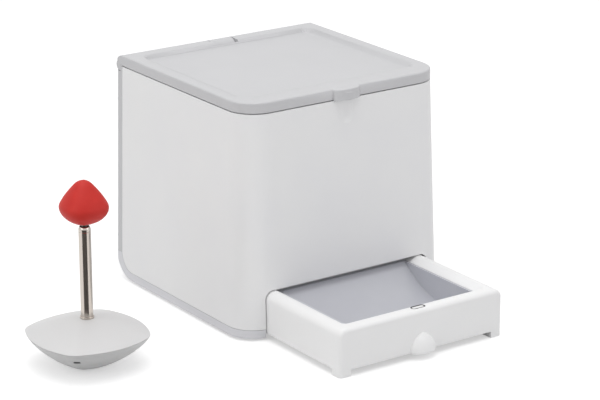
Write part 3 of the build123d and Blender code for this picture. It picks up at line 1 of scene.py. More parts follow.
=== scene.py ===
# %% [markdown]
# # A treat dispenser with its touch target
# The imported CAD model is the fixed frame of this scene. This notebook dresses it: it sets a
# camera, lights and a pale floor, gives every CAD node a procedural material, and replaces
# the nodes whose real surfaces need finer forms than a solid modeller gives.
# Blender's lengths are in metres, so a size in millimetres is multiplied by MM. +Z is up.

# %% Load the frame
import math
import bmesh
import bpy
from mathutils import Matrix, Vector


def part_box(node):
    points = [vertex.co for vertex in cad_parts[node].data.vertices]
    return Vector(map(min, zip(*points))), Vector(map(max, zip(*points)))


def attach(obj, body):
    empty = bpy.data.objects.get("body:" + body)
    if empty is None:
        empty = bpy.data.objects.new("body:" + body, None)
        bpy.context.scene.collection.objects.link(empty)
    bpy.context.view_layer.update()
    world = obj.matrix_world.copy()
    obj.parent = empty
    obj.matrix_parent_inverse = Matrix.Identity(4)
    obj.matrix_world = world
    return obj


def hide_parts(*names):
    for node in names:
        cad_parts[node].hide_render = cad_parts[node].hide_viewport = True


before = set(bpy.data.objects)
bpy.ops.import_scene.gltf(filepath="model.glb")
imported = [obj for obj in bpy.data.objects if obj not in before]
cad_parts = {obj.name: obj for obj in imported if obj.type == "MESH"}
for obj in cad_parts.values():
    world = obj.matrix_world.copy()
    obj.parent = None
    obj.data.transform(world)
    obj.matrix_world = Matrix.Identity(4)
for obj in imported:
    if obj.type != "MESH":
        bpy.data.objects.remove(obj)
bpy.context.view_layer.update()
MM = 0.001

# %% [markdown]
# ## The photograph's view
# The photograph was taken with a long lens from the front left and a little above. A camera
# could be moved by eye until the edges agree, but numbers can be repeated: the direction, the
# point that the camera is set from, where that point falls in the 600 by 400 picture, and how
# far away it is. No lens shift is needed, so other views can turn the same camera.

# %% View
IMAGE_WIDTH, IMAGE_HEIGHT = 600, 400
FOCAL_PIXELS = 2442.54
AZIMUTH = math.radians(-34.928)
ELEVATION = math.radians(18.504)
AIM_POINT = Vector((0, 0, 86.87)) * MM
AIM_PIXEL = (278.205, 173.066)
AIM_DEPTH = 1798.1 * MM

back = Vector((math.sin(AZIMUTH) * math.cos(ELEVATION),
               -math.cos(AZIMUTH) * math.cos(ELEVATION),
               math.sin(ELEVATION)))
right = Vector((math.cos(AZIMUTH), math.sin(AZIMUTH), 0))
up = back.cross(right)
aim_right = (AIM_PIXEL[0] - (IMAGE_WIDTH - 1) / 2) / FOCAL_PIXELS * AIM_DEPTH
aim_up = ((IMAGE_HEIGHT - 1) / 2 - AIM_PIXEL[1]) / FOCAL_PIXELS * AIM_DEPTH
camera_place = AIM_POINT + back * AIM_DEPTH - right * aim_right - up * aim_up
print("camera at", [round(c, 4) for c in camera_place])

# %% [markdown]
# ## Camera
# A Blender camera looks along its own -Z axis, with +Y up in the picture, so the three
# directions side by side in a matrix turn it. Its lens is the one that would give the same
# picture on 36 mm film. A Track To constraint could aim it, but would do so again in every
# other view.

# %% Camera
SENSOR_WIDTH = 36.0
CLIP_NEAR, CLIP_FAR = 0.05, 20
camera_data = bpy.data.cameras.new("photo_camera")
camera_data.sensor_fit = "HORIZONTAL"
camera_data.sensor_width = SENSOR_WIDTH
camera_data.lens = FOCAL_PIXELS * SENSOR_WIDTH / IMAGE_WIDTH
camera_data.clip_start = CLIP_NEAR
camera_data.clip_end = CLIP_FAR
camera = bpy.data.objects.new("photo_camera", camera_data)
bpy.context.collection.objects.link(camera)
turn = Matrix((right, up, back)).transposed()
camera.matrix_world = Matrix.Translation(camera_place) @ turn.to_4x4()
bpy.context.scene.camera = camera
print("lens", round(camera_data.lens, 2), "mm")

# %% [markdown]
# ## Colours
# A colour picker gives hex values in sRGB, which spaces its tones as the eye sees them.
# Shaders add up light, so they need linear numbers. Those could be typed in, but few people
# can read them, so one function turns the hex values into them.

# %% Colour helper
def linear(hex_colour):
    """An sRGB hex colour as linear RGBA, by the curve of the sRGB standard."""
    channels = [int(hex_colour[i:i + 2], 16) / 255 for i in (1, 3, 5)]
    values = [c / 12.92 if c <= 0.04045 else ((c + 0.055) / 1.055) ** 2.4 for c in channels]
    return (*values, 1.0)


print("#808080 in linear light is", round(linear("#808080")[0], 3))

# %% [markdown]
# ## Nodes
# A material is a tree of nodes. It could be drawn in the Shader Editor, but a script reads
# from top to bottom. One small function adds a node of any kind, sets its properties, and
# fills its inputs with values or with links. An input has its name from the editor with an
# underscore for a space, or its number after an underscore.

# %% Node helper
def add(tree, kind, settings=(), **inputs):
    """Adds a node, sets its properties, and fills its inputs with values or links."""
    made = tree.nodes.new(kind)
    for name, value in dict(settings).items():
        setattr(made, name, value)
    for name, value in inputs.items():
        number = name[1:]
        socket = made.inputs[int(number) if number.isdigit() else name.replace("_", " ")]
        if isinstance(value, bpy.types.NodeSocket):
            tree.links.new(value, socket)
        else:
            socket.default_value = value
    return made


def new_material(name):
    """A material whose tree of nodes is empty."""
    material = bpy.data.materials.new(name)
    material.use_nodes = True
    material.node_tree.nodes.clear()
    return material, material.node_tree


# %% [markdown]
# ## One skin for every finish
# Every surface here has two patterns. One shifts the colour a little, and a fine one, the
# grain or the lines that a tool left, changes the gloss and the relief. Pictures of surfaces
# could give both, but they have to be unwrapped and they show where they repeat. Noise does
# neither, and its scale comes from a size in millimetres.

# %% Skin helper
def skin(material, tint, grain, colours, stops, roughness, depth_mm, **shader_values):
    """Shades a material: tint picks the colour, grain sets the roughness and the relief."""
    tree = material.node_tree
    colour = add(tree, "ShaderNodeValToRGB", Fac=tint)
    for element, stop, hex_colour in zip(colour.color_ramp.elements, stops, colours):
        element.position = stop
        element.color = linear(hex_colour)
    gloss = add(tree, "ShaderNodeMapRange", Value=grain, To_Min=roughness[0],
                To_Max=roughness[1])
    relief = add(tree, "ShaderNodeBump", Height=grain, Distance=depth_mm * MM, Strength=1.0)
    shader = add(tree, "ShaderNodeBsdfPrincipled", Base_Color=colour.outputs["Color"],
                 Roughness=gloss.outputs[0], Normal=relief.outputs["Normal"],
                 **shader_values)
    add(tree, "ShaderNodeOutputMaterial", Surface=shader.outputs[0])
    return material


# %% [markdown]
# ## Moulded plastic and rubber
# A moulded part takes the grain of its steel tool, and its colour drifts in soft clouds where
# the melt mixed unevenly. The grain could be modelled, but it is far finer than a face, so it
# is bump of the real depth. Noise stays near the middle of its range, so the two colours are
# set at the ends of what it uses.

# %% Moulded finish
CLOUD_STOPS = (0.3, 0.7)
GRAIN_GLOSS = (-0.05, 0.07)


def moulded(name, pale, dark, roughness, grain_mm, depth_mm, ior=1.5, cloud_mm=38.0,
            **shader_values):
    """Moulded plastic or rubber: clouds in the colour, and the fine grain of the mould."""
    material, tree = new_material(name)
    place = add(tree, "ShaderNodeTexCoord").outputs["Object"]
    clouds = add(tree, "ShaderNodeTexNoise", Vector=place, Scale=1 / (cloud_mm * MM),
                 Detail=3, Roughness=0.5)
    grain = add(tree, "ShaderNodeTexNoise", Vector=place, Scale=1 / (grain_mm * MM),
                Detail=3, Roughness=0.6)
    return skin(material, clouds.outputs["Fac"], grain.outputs["Fac"], (dark, pale),
                CLOUD_STOPS, [roughness + change for change in GRAIN_GLOSS], depth_mm,
                IOR=ior, **shader_values)


# %% [markdown]
# ## Metal
# Drawing, turning or grinding leaves fine lines. They could be cut into the mesh, but they
# are hundredths of a millimetre deep. Noise is squeezed across the lines instead: along two
# axes for lines along the third, as on a drawn tube, or along one for rings round a shaft. With
# no squeeze it gives the dull speckle of a casting. A metal's colour is the colour of its
# reflections.

# %% Metal finish
LINE_STOPS = (0.25, 0.75)
LINE_GLOSS = (-0.06, 0.08)


def metal(name, pale, dark, roughness, line_mm, squeeze=(1, 1, 1), depth_mm=0.004):
    """Metal with the fine lines that drawing, turning or grinding leaves."""
    material, tree = new_material(name)
    place = add(tree, "ShaderNodeTexCoord").outputs["Object"]
    squeezed = add(tree, "ShaderNodeMapping", Vector=place, Scale=squeeze).outputs[0]
    lines = add(tree, "ShaderNodeTexNoise", Vector=squeezed, Scale=1 / (line_mm * MM),
                Detail=4, Roughness=0.6).outputs["Fac"]
    return skin(material, lines, lines, (dark, pale), LINE_STOPS,
                [roughness + change for change in LINE_GLOSS], depth_mm, Metallic=1.0)


# %% [markdown]
# ## Plastics
# The body is ABS, moulded in a tool whose walls were roughened by spark erosion. The parts
# inside are polypropylene, which slides well and touches food, and acetal, which makes good
# gears. One plain grey for all would be quicker, but the eye tells them apart by their gloss
# and grain. Each line gives the two colours, the roughness, and the width and depth of the
# grain in millimetres.

# %% Plastics
# sparked walls: satin, so a lamp leaves a wide soft highlight
white_abs = moulded("white_abs_sparked", "#F0F0F0", "#EEEEEF", 0.44, 0.45, 0.012)
# a smoother tool: a little brighter and crisper at the rim
drawer_abs = moulded("white_abs_drawer", "#F4F4F4", "#F2F2F2", 0.40, 0.45, 0.010)
# the target's top and bowl: satin again, in two greys; the bowl's darker grey is painted shade
# under the rim
target_abs = moulded("pale_abs_target", "#DADADA", "#D8D8D8", 0.42, 0.45, 0.010)
painted_shade_bowl_abs = moulded("pale_abs_bowl_painted_shade", "#C6C6C6", "#C2C2C2", 0.42, 0.45, 0.010)
# lid and back: the body's grain, in a grey that sets them off from the white
grey_abs = moulded("pale_grey_abs", "#CACACC", "#C8C8CA", 0.42, 0.45, 0.012)
# foot band: between the lid's grey and the white
band_abs = moulded("pale_grey_abs_foot", "#DDDDE1", "#D9D9DD", 0.42, 0.45, 0.012)
# liner: a polished tool, so it wipes clean and shows a faint sheen
liner_abs = moulded("cool_grey_abs_polished", "#C5C6CC", "#C0C1C8", 0.30, 0.9, 0.006)
# undyed polypropylene: milky, with a waxy gloss
hopper_pp = moulded("natural_polypropylene", "#DADCDC", "#D2D5D6", 0.33, 0.8, 0.008,
                    cloud_mm=20)
# the same with graphite in it: dark and slippery
disc_pp = moulded("graphite_polypropylene", "#5A5F66", "#51565D", 0.36, 0.7, 0.010,
                  cloud_mm=20)
# acetal gears: ivory, hard and smooth
acetal = moulded("natural_acetal", "#E8E4DA", "#DED9CC", 0.28, 0.5, 0.006, cloud_mm=12)
# socket and inner frames: dark plastic; the frames' black also paints the shade in the gaps
# between the pale parts
socket_abs = moulded("dark_grey_abs_socket", "#66676A", "#5E5F62", 0.45, 0.5, 0.010)
dark_abs = moulded("black_abs", "#2B2C2F", "#232427", 0.45, 0.5, 0.014)
print("materials after the plastics:", len(bpy.data.materials))

# %% [markdown]
# ## Rubbers
# The feet and seals are matt rubber. The tip of the target is soft silicone rubber in red. It
# could be a plain red plastic, but silicone lets a little light in and out again, which
# softens its shaded side, so it gets some subsurface light that travels a few millimetres.

# %% Rubbers
# matt and nearly black: it only shows as a dark line
black_rubber = moulded("black_rubber", "#1D1D1E", "#151516", 0.72, 0.8, 0.03, cloud_mm=6)
grey_rubber = moulded("grey_seal_rubber", "#6E7073", "#65676A", 0.68, 0.6, 0.02, cloud_mm=6)
# red goes deepest into silicone, green and blue hardly at all
RED_REACH = (3.5 * MM, 1.2 * MM, 0.8 * MM)
red_silicone = moulded("red_silicone", "#C92A21", "#C2261E", 0.52, 0.7, 0.010, ior=1.4,
                       cloud_mm=9, Subsurface_Weight=0.12, Subsurface_Radius=RED_REACH,
                       Subsurface_Scale=1.0)
print("materials after the rubbers:", len(bpy.data.materials))

# %% [markdown]
# ## Metals and electronics
# The target's tube is drawn steel, nickel plated. Pins and shafts are ground steel, screws are
# zinc plated, and the motors have drawn cans. Boards carry a green solder mask. All could
# share one bright steel, but each way of working leaves its own gloss, and lines in its own
# direction. Each line gives the two colours, the roughness, the width of the lines in
# millimetres, and how far the pattern is squeezed along X, Y and Z.

# %% Metals and electronics
# inner tubes: bare steel, greyer and duller than the plated one, with lines along the tube
pole_steel = metal("drawn_steel_tube", "#77746F", "#5E5B58", 0.30, 0.25, (8, 8, 1))
# nickel: bright and a little warm, so it mirrors the room
nickel = metal("nickel_plated_tube", "#C8C0B8", "#C1B9B1", 0.13, 0.3, (6, 6, 0.2), 0.001)
# ground shafts: lines round the shaft
ground_steel = metal("ground_steel", "#C9CBCE", "#AFB2B6", 0.24, 0.3, (1, 1, 6))
# zinc: a bluish, slightly frosted grey
screw_steel = metal("zinc_plated_steel", "#A6A8AB", "#85878B", 0.34, 0.5)
# motor cans and cell ends: drawn, with a soft shine
can_steel = metal("nickel_plated_can", "#BFC1C4", "#A4A6AA", 0.30, 0.4, (6, 6, 1))
# bush and pinion: yellow, with turning rings
turned_brass = metal("turned_brass", "#D2AE62", "#B48E46", 0.28, 0.25, (1, 1, 8))
# contacts: brass under a thin pale plating
spring_brass = metal("plated_spring_brass", "#D9CFA8", "#BDB28A", 0.26, 0.4)
# ballast: rough and dark, as it left the sand
cast_iron = metal("cast_iron", "#55565A", "#3C3D40", 0.58, 1.2, depth_mm=0.05)
# solder mask: a glossy green lacquer over a faint weave
solder_mask = moulded("green_solder_mask", "#1F6B45", "#195B3A", 0.30, 0.4, 0.008,
                      cloud_mm=3)
# plain film round each cell: smooth and glossy
cell_jacket = moulded("plain_cell_jacket", "#3E4146", "#36393E", 0.26, 1.0, 0.004,
                      cloud_mm=25)
print("materials in all:", len(bpy.data.materials))

# %% [markdown]
# ## Dressing the CAD nodes
# Most nodes already have the right shape. They could be modelled again, but nothing would be
# gained: their meshes stay as they are, and only the materials in their slots change.

# %% Materials for CAD nodes
FINISH = {
    white_abs: ["front_shell"],
    target_abs: ["target_cover"],
    # the lower shell's darker grey is painted shade under the target's rim
    painted_shade_bowl_abs: ["target_lower_shell"],
    drawer_abs: ["drawer", "rim_plug"],
    grey_abs: ["lid", "rear_cover", "battery_door"],
    band_abs: ["base_tray"],
    liner_abs: ["drawer_liner"],
    hopper_pp: ["hopper", "drop_shield", "treat_chute"],
    disc_pp: ["dispensing_disc", "disc_hub", "stirrer"],
    acetal: ["drive_gear", "tray_rack", "tray_pinion"],
    # the inner frames' black is partly painted shade in the gaps between the pale parts
    dark_abs: ["drive_deck", "drawer_bay", "battery_box", "speaker", "power_button",
               "tip_core"],
    socket_abs: ["charge_socket"],
    black_rubber: ["rubber_feet", "target_foot"],
    grey_rubber: ["lid_seal"],
    red_silicone: ["target_tip"],
    nickel: ["pole_outer", "pole_ferrule"],
    pole_steel: ["pole_middle", "pole_inner"],
    ground_steel: ["hinge_pin", "disc_shaft", "motor_shaft", "tray_shaft"],
    screw_steel: ["base_screws", "rear_screws", "deck_screws", "target_screws"],
    can_steel: ["gear_motor", "tray_motor"],
    turned_brass: ["motor_pinion", "shaft_bushing"],
    spring_brass: ["battery_contacts"],
    cast_iron: ["target_ballast"],
    solder_mask: ["control_board", "switch_board", "target_board"],
    cell_jacket: ["battery_cells", "target_cell"],
}
for material, names in FINISH.items():
    for name in names:
        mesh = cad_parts[name].data
        mesh.materials.clear()
        mesh.materials.append(material)
dressed = {name for names in FINISH.values() for name in names}
print("nodes dressed:", len(dressed), "left bare:", sorted(set(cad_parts) - dressed))

# %% [markdown]
# ## Finishing a piece
# Every new piece ends in the same way. Its form becomes an object with materials, smooth
# shading, and sharp edges where faces meet at more than an angle. It is then tied to the body it
# rides on, and the CAD nodes that it stands for are hidden. Its place is in its mesh, so its
# object stays at the origin, as a CAD node's does.

# %% Piece helper
def mesh_object(name, bm, materials):
    """Makes an object of a form."""
    mesh = bpy.data.meshes.new(name)
    bm.to_mesh(mesh)
    bm.free()
    for material in materials:
        mesh.materials.append(material)
    made = bpy.data.objects.new(name, mesh)
    bpy.context.collection.objects.link(made)
    return made


def piece(name, bm, materials, body, nodes=(), sharp_deg=35):
    """Makes a smooth-shaded object of a form, ties it to its body, and hides the nodes it stands
    for.
    """
    made = mesh_object(name, bm, materials)
    faces = made.data.polygons
    faces.foreach_set("use_smooth", [True] * len(faces))
    made.data.set_sharp_from_angle(angle=math.radians(sharp_deg))
    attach(made, body)
    if nodes:
        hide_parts(*nodes)
    print(name, "has", len(faces), "faces")
    return made


# %% [markdown]
# ## Growing a form ring by ring
# Many forms are a stack of rings of the same outline. A loft would need every ring drawn. An
# extrusion of a loop of edges only needs the next size and height, so this helper extrudes,
# scales and lifts a loop once for each ring, and gives back the last loop.

# %% Ring helper
def grow(bm, edges, rings):
    """Extrudes a loop through (scale, height in mm) rings; the first loop has scale 1."""
    size = 1.0
    for scale, height in rings:
        made = bmesh.ops.extrude_edge_only(bm, edges=edges)["geom"]
        fresh = [item for item in made if isinstance(item, bmesh.types.BMVert)]
        edges = [item for item in made if isinstance(item, bmesh.types.BMEdge)
                 and all(vertex in fresh for vertex in item.verts)]
        bmesh.ops.scale(bm, verts=fresh, vec=(scale / size, scale / size, 1))
        for vertex in fresh:
            vertex.co.z = height * MM
        size = scale
    return edges


# %% [markdown]
# ## The target's soft tip
# The real tip is moulded silicone: a round-cornered pillow with a blunt point and a bowl
# below its widest ring, pushed on a stiff stem. It could be sculpted, but that can't be
# repeated. A cage of eight-sided rings, its corners pulled out, becomes smooth under a
# Subdivision Surface. The cage stands a little outside the form, because smoothing shrinks it.

# %% Tip cage
# half width and height above the table of each ring, in mm, from below upwards
TIP_FOOT = (2.4, 101.3)
TIP_RINGS = ((3.9, 101.6), (4.6, 102.0), (6.6, 102.6), (9.4, 103.9), (11.9, 105.6),
             (14.0, 107.8), (15.5, 110.3), (16.1, 113.2), (15.8, 115.3), (14.5, 117.8),
             (12.6, 121.0), (10.1, 124.5), (7.3, 128.0), (4.7, 131.0), (2.0, 132.2), (0.5, 132.4))
# how far a ring's sides and corners stand out, as shares of its half width
TIP_SIDE, TIP_CORNER = 1.063, 1.236
WELD = 0.001 * MM
foot_half, foot_z = TIP_FOOT
tip = bmesh.new()
bmesh.ops.create_circle(tip, segments=8, radius=TIP_SIDE * foot_half * MM,
                        matrix=Matrix.Translation((0, 0, foot_z * MM)))
corners = [vertex for vertex in tip.verts if abs(abs(vertex.co.x) - abs(vertex.co.y)) < WELD]
corner_pull = TIP_CORNER / TIP_SIDE
bmesh.ops.scale(tip, verts=corners, vec=(corner_pull, corner_pull, 1))
top_loop = grow(tip, list(tip.edges), [(half / foot_half, z) for half, z in TIP_RINGS])
bmesh.ops.contextual_create(tip, geom=top_loop)
bmesh.ops.contextual_create(tip, geom=[edge for edge in tip.edges if edge.is_boundary])
bmesh.ops.recalc_face_normals(tip, faces=tip.faces)
print("tip cage has", len(tip.verts), "points")

# %% [markdown]
# ## The tip on its pole
# The target stands beside the dispenser, so its parts are made round the Z axis and moved to
# the pole. The pole's middle is read from the CAD node rather than typed in, so a piece can't
# drift from it.

# %% Soft tip
TIP_LEVELS = 3
pole_low, pole_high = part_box("pole_outer")
axis_x, axis_y = (pole_low.x + pole_high.x) / 2, (pole_low.y + pole_high.y) / 2
target_axis = Matrix.Translation((axis_x, axis_y, 0))
bmesh.ops.transform(tip, matrix=target_axis, verts=tip.verts)
silicone_tip = piece("silicone_tip", tip, [red_silicone], "pole_inner_set",
                     ["target_tip"], sharp_deg=180)
smooth = silicone_tip.modifiers.new("smooth", "SUBSURF")
smooth.levels = smooth.render_levels = TIP_LEVELS

# %% [markdown]
# ## Turned parts
# A lathe makes a part from its profile, and so does a spin: a line of points is swept once
# round an axis. Its first and last steps are merged, and so are the points on the axis, so
# the form is closed. A Screw modifier could do it too, but a spin gives real faces at once,
# whose doubles and normals are put right here.

# %% Turning helper
def turned(profile, steps=48):
    """Spins a profile of (radius, height) points in mm round the Z axis."""
    bm = bmesh.new()
    points = [bm.verts.new((radius * MM, 0, height * MM)) for radius, height in profile]
    edges = [bm.edges.new(pair) for pair in zip(points, points[1:])]
    bmesh.ops.spin(bm, geom=points + edges, cent=(0, 0, 0), axis=(0, 0, 1),
                   angle=math.tau, steps=steps, use_merge=True)
    bmesh.ops.remove_doubles(bm, verts=bm.verts, dist=WELD)
    bmesh.ops.recalc_face_normals(bm, faces=bm.faces)
    return bm


# %% [markdown]
# ## Stem of the tip
# A stiff bush sits inside the soft tip and takes the inner pole in its bore. Only its rim
# shows, below the bowl. It is round, so it is turned.

# %% Stem
STEM_RADIUS, STEM_BORE = 4.0, 2.35
STEM_FOOT, BORE_TOP, STEM_TOP = 102.4, 110.5, 116.5
stem = turned(((STEM_BORE, STEM_FOOT), (STEM_RADIUS, STEM_FOOT), (STEM_RADIUS, STEM_TOP),
               (0, STEM_TOP), (0, BORE_TOP), (STEM_BORE, BORE_TOP), (STEM_BORE, STEM_FOOT)))
bmesh.ops.transform(stem, matrix=target_axis, verts=stem.verts)
piece("tip_stem", stem, [dark_abs], "pole_inner_set", ["tip_core"])

# %% [markdown]
# ## Tube of the target
# The tube is drawn steel. Its mouth is rolled in over the next section, and a fine bead marks
# the roll. A bevel would round the mouth but not draw it in, so the roll is part of the
# profile: each point is a radius and a height against the tube's top.

# %% Tube
TUBE, BORE, MOUTH, TUBE_FOOT, TUBE_TOP = 4.25, 3.75, 3.36, 20.0, 99.8
TUBE_STEPS = 64
mouth_roll = ((TUBE, -3.8), (TUBE - 0.16, -3.6), (TUBE - 0.16, -3.45), (TUBE, -3.25),
              (TUBE, -2.3), (TUBE - 0.08, -1.6), (TUBE - 0.28, -0.85), (TUBE - 0.55, -0.3),
              (TUBE - 0.78, 0), (MOUTH, 0), (MOUTH, -2.6), (BORE, -3.0))
tube = turned(((TUBE, TUBE_FOOT), *((radius, TUBE_TOP + drop) for radius, drop in mouth_roll),
               (BORE, TUBE_FOOT), (TUBE, TUBE_FOOT)), TUBE_STEPS)
bmesh.ops.transform(tube, matrix=target_axis, verts=tube.verts)
piece("pole_tube", tube, [nickel], "target", ["pole_outer"])

# %% [markdown]
# ## Form of a screw
# Pan-head screws hold the back, the foot and the target. Each is headed from wire, with a
# pressed cross recess. The cross could be cut out with a Boolean, which leaves long thin
# faces. Here it is a grid of three by three faces without its corners, sunk and narrowed by
# an extrusion. A bridge joins it to a circle, which grows into the head and the shank.

# %% Screw form
# shares of the head's radius: the cross's arm and the crown; the cross's depth is a share of
# the head's height, and its floor a share of its mouth
CROSS_ARM, CROWN, CROSS_DEPTH, CROSS_FLOOR = 0.52, 0.72, 0.65, 0.7
# the head's rounded edge: shares of its radius, and of its height below the top
HEAD_EDGE = ((0.90, 0.10), (0.975, 0.28), (1, 0.5))
# the blunt point, as a share of the shank
POINT = 0.25
CROWN_SIDES = 24


def cross_screw(head_radius, head_height, core_radius, length):
    """A pan-head screw along Z, with the top of its head at zero. Sizes in mm."""
    bm = bmesh.new()
    arm = head_radius * CROSS_ARM * MM
    bmesh.ops.create_grid(bm, x_segments=3, y_segments=3, size=arm)
    outside = [face for face in bm.faces
               if min(map(abs, face.calc_center_median()[:2])) > arm / 2]
    bmesh.ops.delete(bm, geom=outside, context="FACES")
    mouth = list(bm.faces)
    sunk = bmesh.ops.extrude_face_region(bm, geom=mouth, use_keep_orig=True)["geom"]
    floor_points = [item for item in sunk if isinstance(item, bmesh.types.BMVert)]
    bmesh.ops.delete(bm, geom=mouth, context="FACES")
    bmesh.ops.transform(bm, verts=floor_points,
                        matrix=Matrix.Translation((0, 0, -CROSS_DEPTH * head_height * MM))
                        @ Matrix.Diagonal((CROSS_FLOOR, CROSS_FLOOR, 1, 1)))
    crown = bmesh.ops.create_circle(bm, segments=CROWN_SIDES,
                                    radius=head_radius * CROWN * MM)["verts"]
    ring = list({edge for vertex in crown for edge in vertex.link_edges})
    rims = [edge for edge in bm.edges if edge.is_boundary or edge.is_wire]
    bmesh.ops.bridge_loops(bm, edges=rims)
    full = 1 / CROWN
    shank = full * core_radius / head_radius
    under, end = -head_height, -head_height - length
    edge_rings = [(full * share, -drop * head_height) for share, drop in HEAD_EDGE]
    point = grow(bm, ring, [*edge_rings, (full, under), (shank, under),
                            (shank, end + core_radius), (shank * POINT, end)])
    bmesh.ops.contextual_create(bm, geom=point)
    bmesh.ops.recalc_face_normals(bm, faces=bm.faces)
    return bm


# %% [markdown]
# ## Finding the solids of a set
# One CAD node holds a whole set of screws, feet, cells or contacts. Their places could be
# typed in, but the node has them already: its mesh falls apart into separate solids, found
# by walking from point to point along the edges.

# %% Solid finder
def islands(name):
    """The corners and the middle of each separate solid in a CAD node."""
    bm = bmesh.new()
    bm.from_mesh(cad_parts[name].data)
    bmesh.ops.remove_doubles(bm, verts=bm.verts, dist=WELD)
    left, found = set(bm.verts), []
    while left:
        stack, points = [left.pop()], []
        while stack:
            vertex = stack.pop()
            points.append(vertex.co.copy())
            near = [edge.other_vert(vertex) for edge in vertex.link_edges]
            fresh = [other for other in near if other in left]
            left.difference_update(fresh)
            stack.extend(fresh)
        low, high = (Vector(map(pick, zip(*points))) for pick in (min, max))
        found.append((low, high, (low + high) / 2))
    bm.free()
    return sorted(found, key=lambda box: tuple(round(c, 5) for c in box[2]))


# %% [markdown]
# ## Copying a form
# A set of screws is one piece, as its CAD node is. Linked objects would save memory, but each
# would be a piece of its own. So each copy of the form is turned and moved, and all go into
# one mesh.

# %% Copy helper
def add_copies(whole, form, places):
    """Adds a copy of a form to a whole at each place, and takes the form away."""
    mesh = bpy.data.meshes.new("form")
    for place in places:
        copy = form.copy()
        bmesh.ops.transform(copy, matrix=place, verts=copy.verts)
        copy.to_mesh(mesh)
        copy.free()
        whole.from_mesh(mesh)
    form.free()
    bpy.data.meshes.remove(mesh)
    return whole


# %% [markdown]
# ## Screws in their places
# Each set has its own size of screw and its own direction. The top of a head is the end of
# its CAD solid on that side, and the screw is as long as that solid. Turning and moving the
# form in its mesh, not as an object, keeps the object at the origin.

# %% Screws
# a heading is an axis, 0 to 2 for X to Z, and the way along it that the head faces
UP, DOWN, BACKWARDS = (2, 1), (2, -1), (1, 1)
# heading, head radius, head height and core radius in mm, and body
SCREWS = {"rear_screws": (BACKWARDS, 3.0, 1.8, 1.3, "housing"),
          "base_screws": (DOWN, 3.0, 1.8, 1.3, "housing"),
          "deck_screws": (UP, 3.0, 1.8, 1.3, "housing"),
          "target_screws": (DOWN, 2.2, 1.6, 1.0, "target")}
for name, ((axis, sign), head_radius, head_height, core_radius, body) in SCREWS.items():
    aim = Vector((0, 0, 0))
    aim[axis] = sign
    facing = aim.to_track_quat("Z", "Y").to_matrix().to_4x4()
    places = []
    for low, high, middle in islands(name):
        length = (high - low)[axis] / MM - head_height
        top = middle.copy()
        top[axis] = high[axis] if sign > 0 else low[axis]
        places.append(Matrix.Translation(top) @ facing)
    form = cross_screw(head_radius, head_height, core_radius, length)
    piece(name.replace("screws", "cross_screws"), add_copies(bmesh.new(), form, places),
          [screw_steel], body, [name])

# %% [markdown]
# ## Rubber feet
# Each foot is a moulded rubber disc, glued into a round seat. Its edge is rounded, and a
# shallow dish in its face leaves a ring that grips the table. A bevelled cylinder would have
# the edge but not the ring, so the foot is turned, and copied to the four seats.

# %% Rubber feet
# distance from the foot's edge and height above the table, in mm
FOOT_EDGE = ((-3.2, 0.35), (-2.8, 0.0), (-0.7, 0.0), (-0.2, 0.2), (0, 0.7))
DISH_DEPTH, FOOT_STEPS = 0.35, 40
seats = islands("rubber_feet")
seat_low, seat_high = seats[0][:2]
foot_radius = (seat_high - seat_low).x / 2 / MM
foot_height = (seat_high - seat_low).z / MM
foot = turned(((0, DISH_DEPTH), *((foot_radius + inwards, z) for inwards, z in FOOT_EDGE),
               (foot_radius, foot_height), (0, foot_height)), FOOT_STEPS)
bases = [Matrix.Translation((middle.x, middle.y, low.z)) for low, high, middle in seats]
piece("round_feet", add_copies(bmesh.new(), foot, bases), [black_rubber], "housing",
      ["rubber_feet"])

# %% [markdown]
# ## Form of a cell
# Four D cells fill the box behind the back's door. A cell is a rolled steel can with crimped
# ends in a thin jacket, a flat base and a pressed cap. A plain cylinder would do behind a
# closed door, but the door comes off. The profile is spun along the cell, and the faces near
# the axis take the bare metal.

# %% Cell form
# radius and height in mm: the base, then the crimp from the shoulder, and the cap from its top
CELL_BASE = ((0, 0.25), (9.5, 0.25), (10.0, 0.0), (14.6, 0.0), (15.0, 0.7), (15.9, 0.7),
             (16.6, 0.25))
CELL_CRIMP = ((16.6, -0.25), (15.9, -0.7), (15.0, -0.7), (13.8, -0.2), (6.2, -0.2), (4.95, 0))
CELL_CAP = ((4.75, -0.3), (4.3, 0), (0, 0))
CAP_HEIGHT, JACKET_EDGE, BARE_RADIUS = 1.5, 0.9, 15.2
cell_solids = islands("battery_cells")
cell_low, cell_high = cell_solids[0][:2]
cell_length = (cell_high - cell_low).x / MM
cell_radius = (cell_high - cell_low).z / 2 / MM
shoulder = cell_length - CAP_HEIGHT
cell = turned((*CELL_BASE, (cell_radius, JACKET_EDGE), (cell_radius, shoulder - JACKET_EDGE),
               *((radius, shoulder + z) for radius, z in CELL_CRIMP),
               *((radius, cell_length + z) for radius, z in CELL_CAP)))
for face in cell.faces:
    middle = face.calc_center_median()
    face.material_index = int(math.hypot(middle.x, middle.y) < BARE_RADIUS * MM)
print("cells:", len(cell_solids), "each", round(cell_length, 1), "by", round(cell_radius * 2, 1))

# %% [markdown]
# ## Cells in their box
# The two rows face opposite ways, as in most battery boxes, so that short links join them in
# a chain. The form stands along Z and is laid down by a quarter turn round Y, one way for the
# lower row and the other way for the upper one.

# %% Round cells
QUARTER_TURN = math.radians(90)
ROW_SPLIT = 40 * MM
lying = Matrix.Rotation(QUARTER_TURN, 4, "Y")
places = []
for low, high, middle in cell_solids:
    towards_right = middle.z < ROW_SPLIT
    start = Vector((low.x if towards_right else high.x, middle.y, middle.z))
    places.append(Matrix.Translation(start) @ (lying if towards_right else lying.inverted()))
piece("round_cells", add_copies(bmesh.new(), cell, places), [cell_jacket, can_steel],
      "housing", ["battery_cells"])

# %% [markdown]
# ## Contact plates
# Stamped plates of spring brass hold the cells at both ends of their box. Each is a thin box
# at the outer side of its CAD solid, and a small bevel on every edge catches the light as
# the rolled edge of sheet metal does. A plane would be quicker, but has no edge to show.

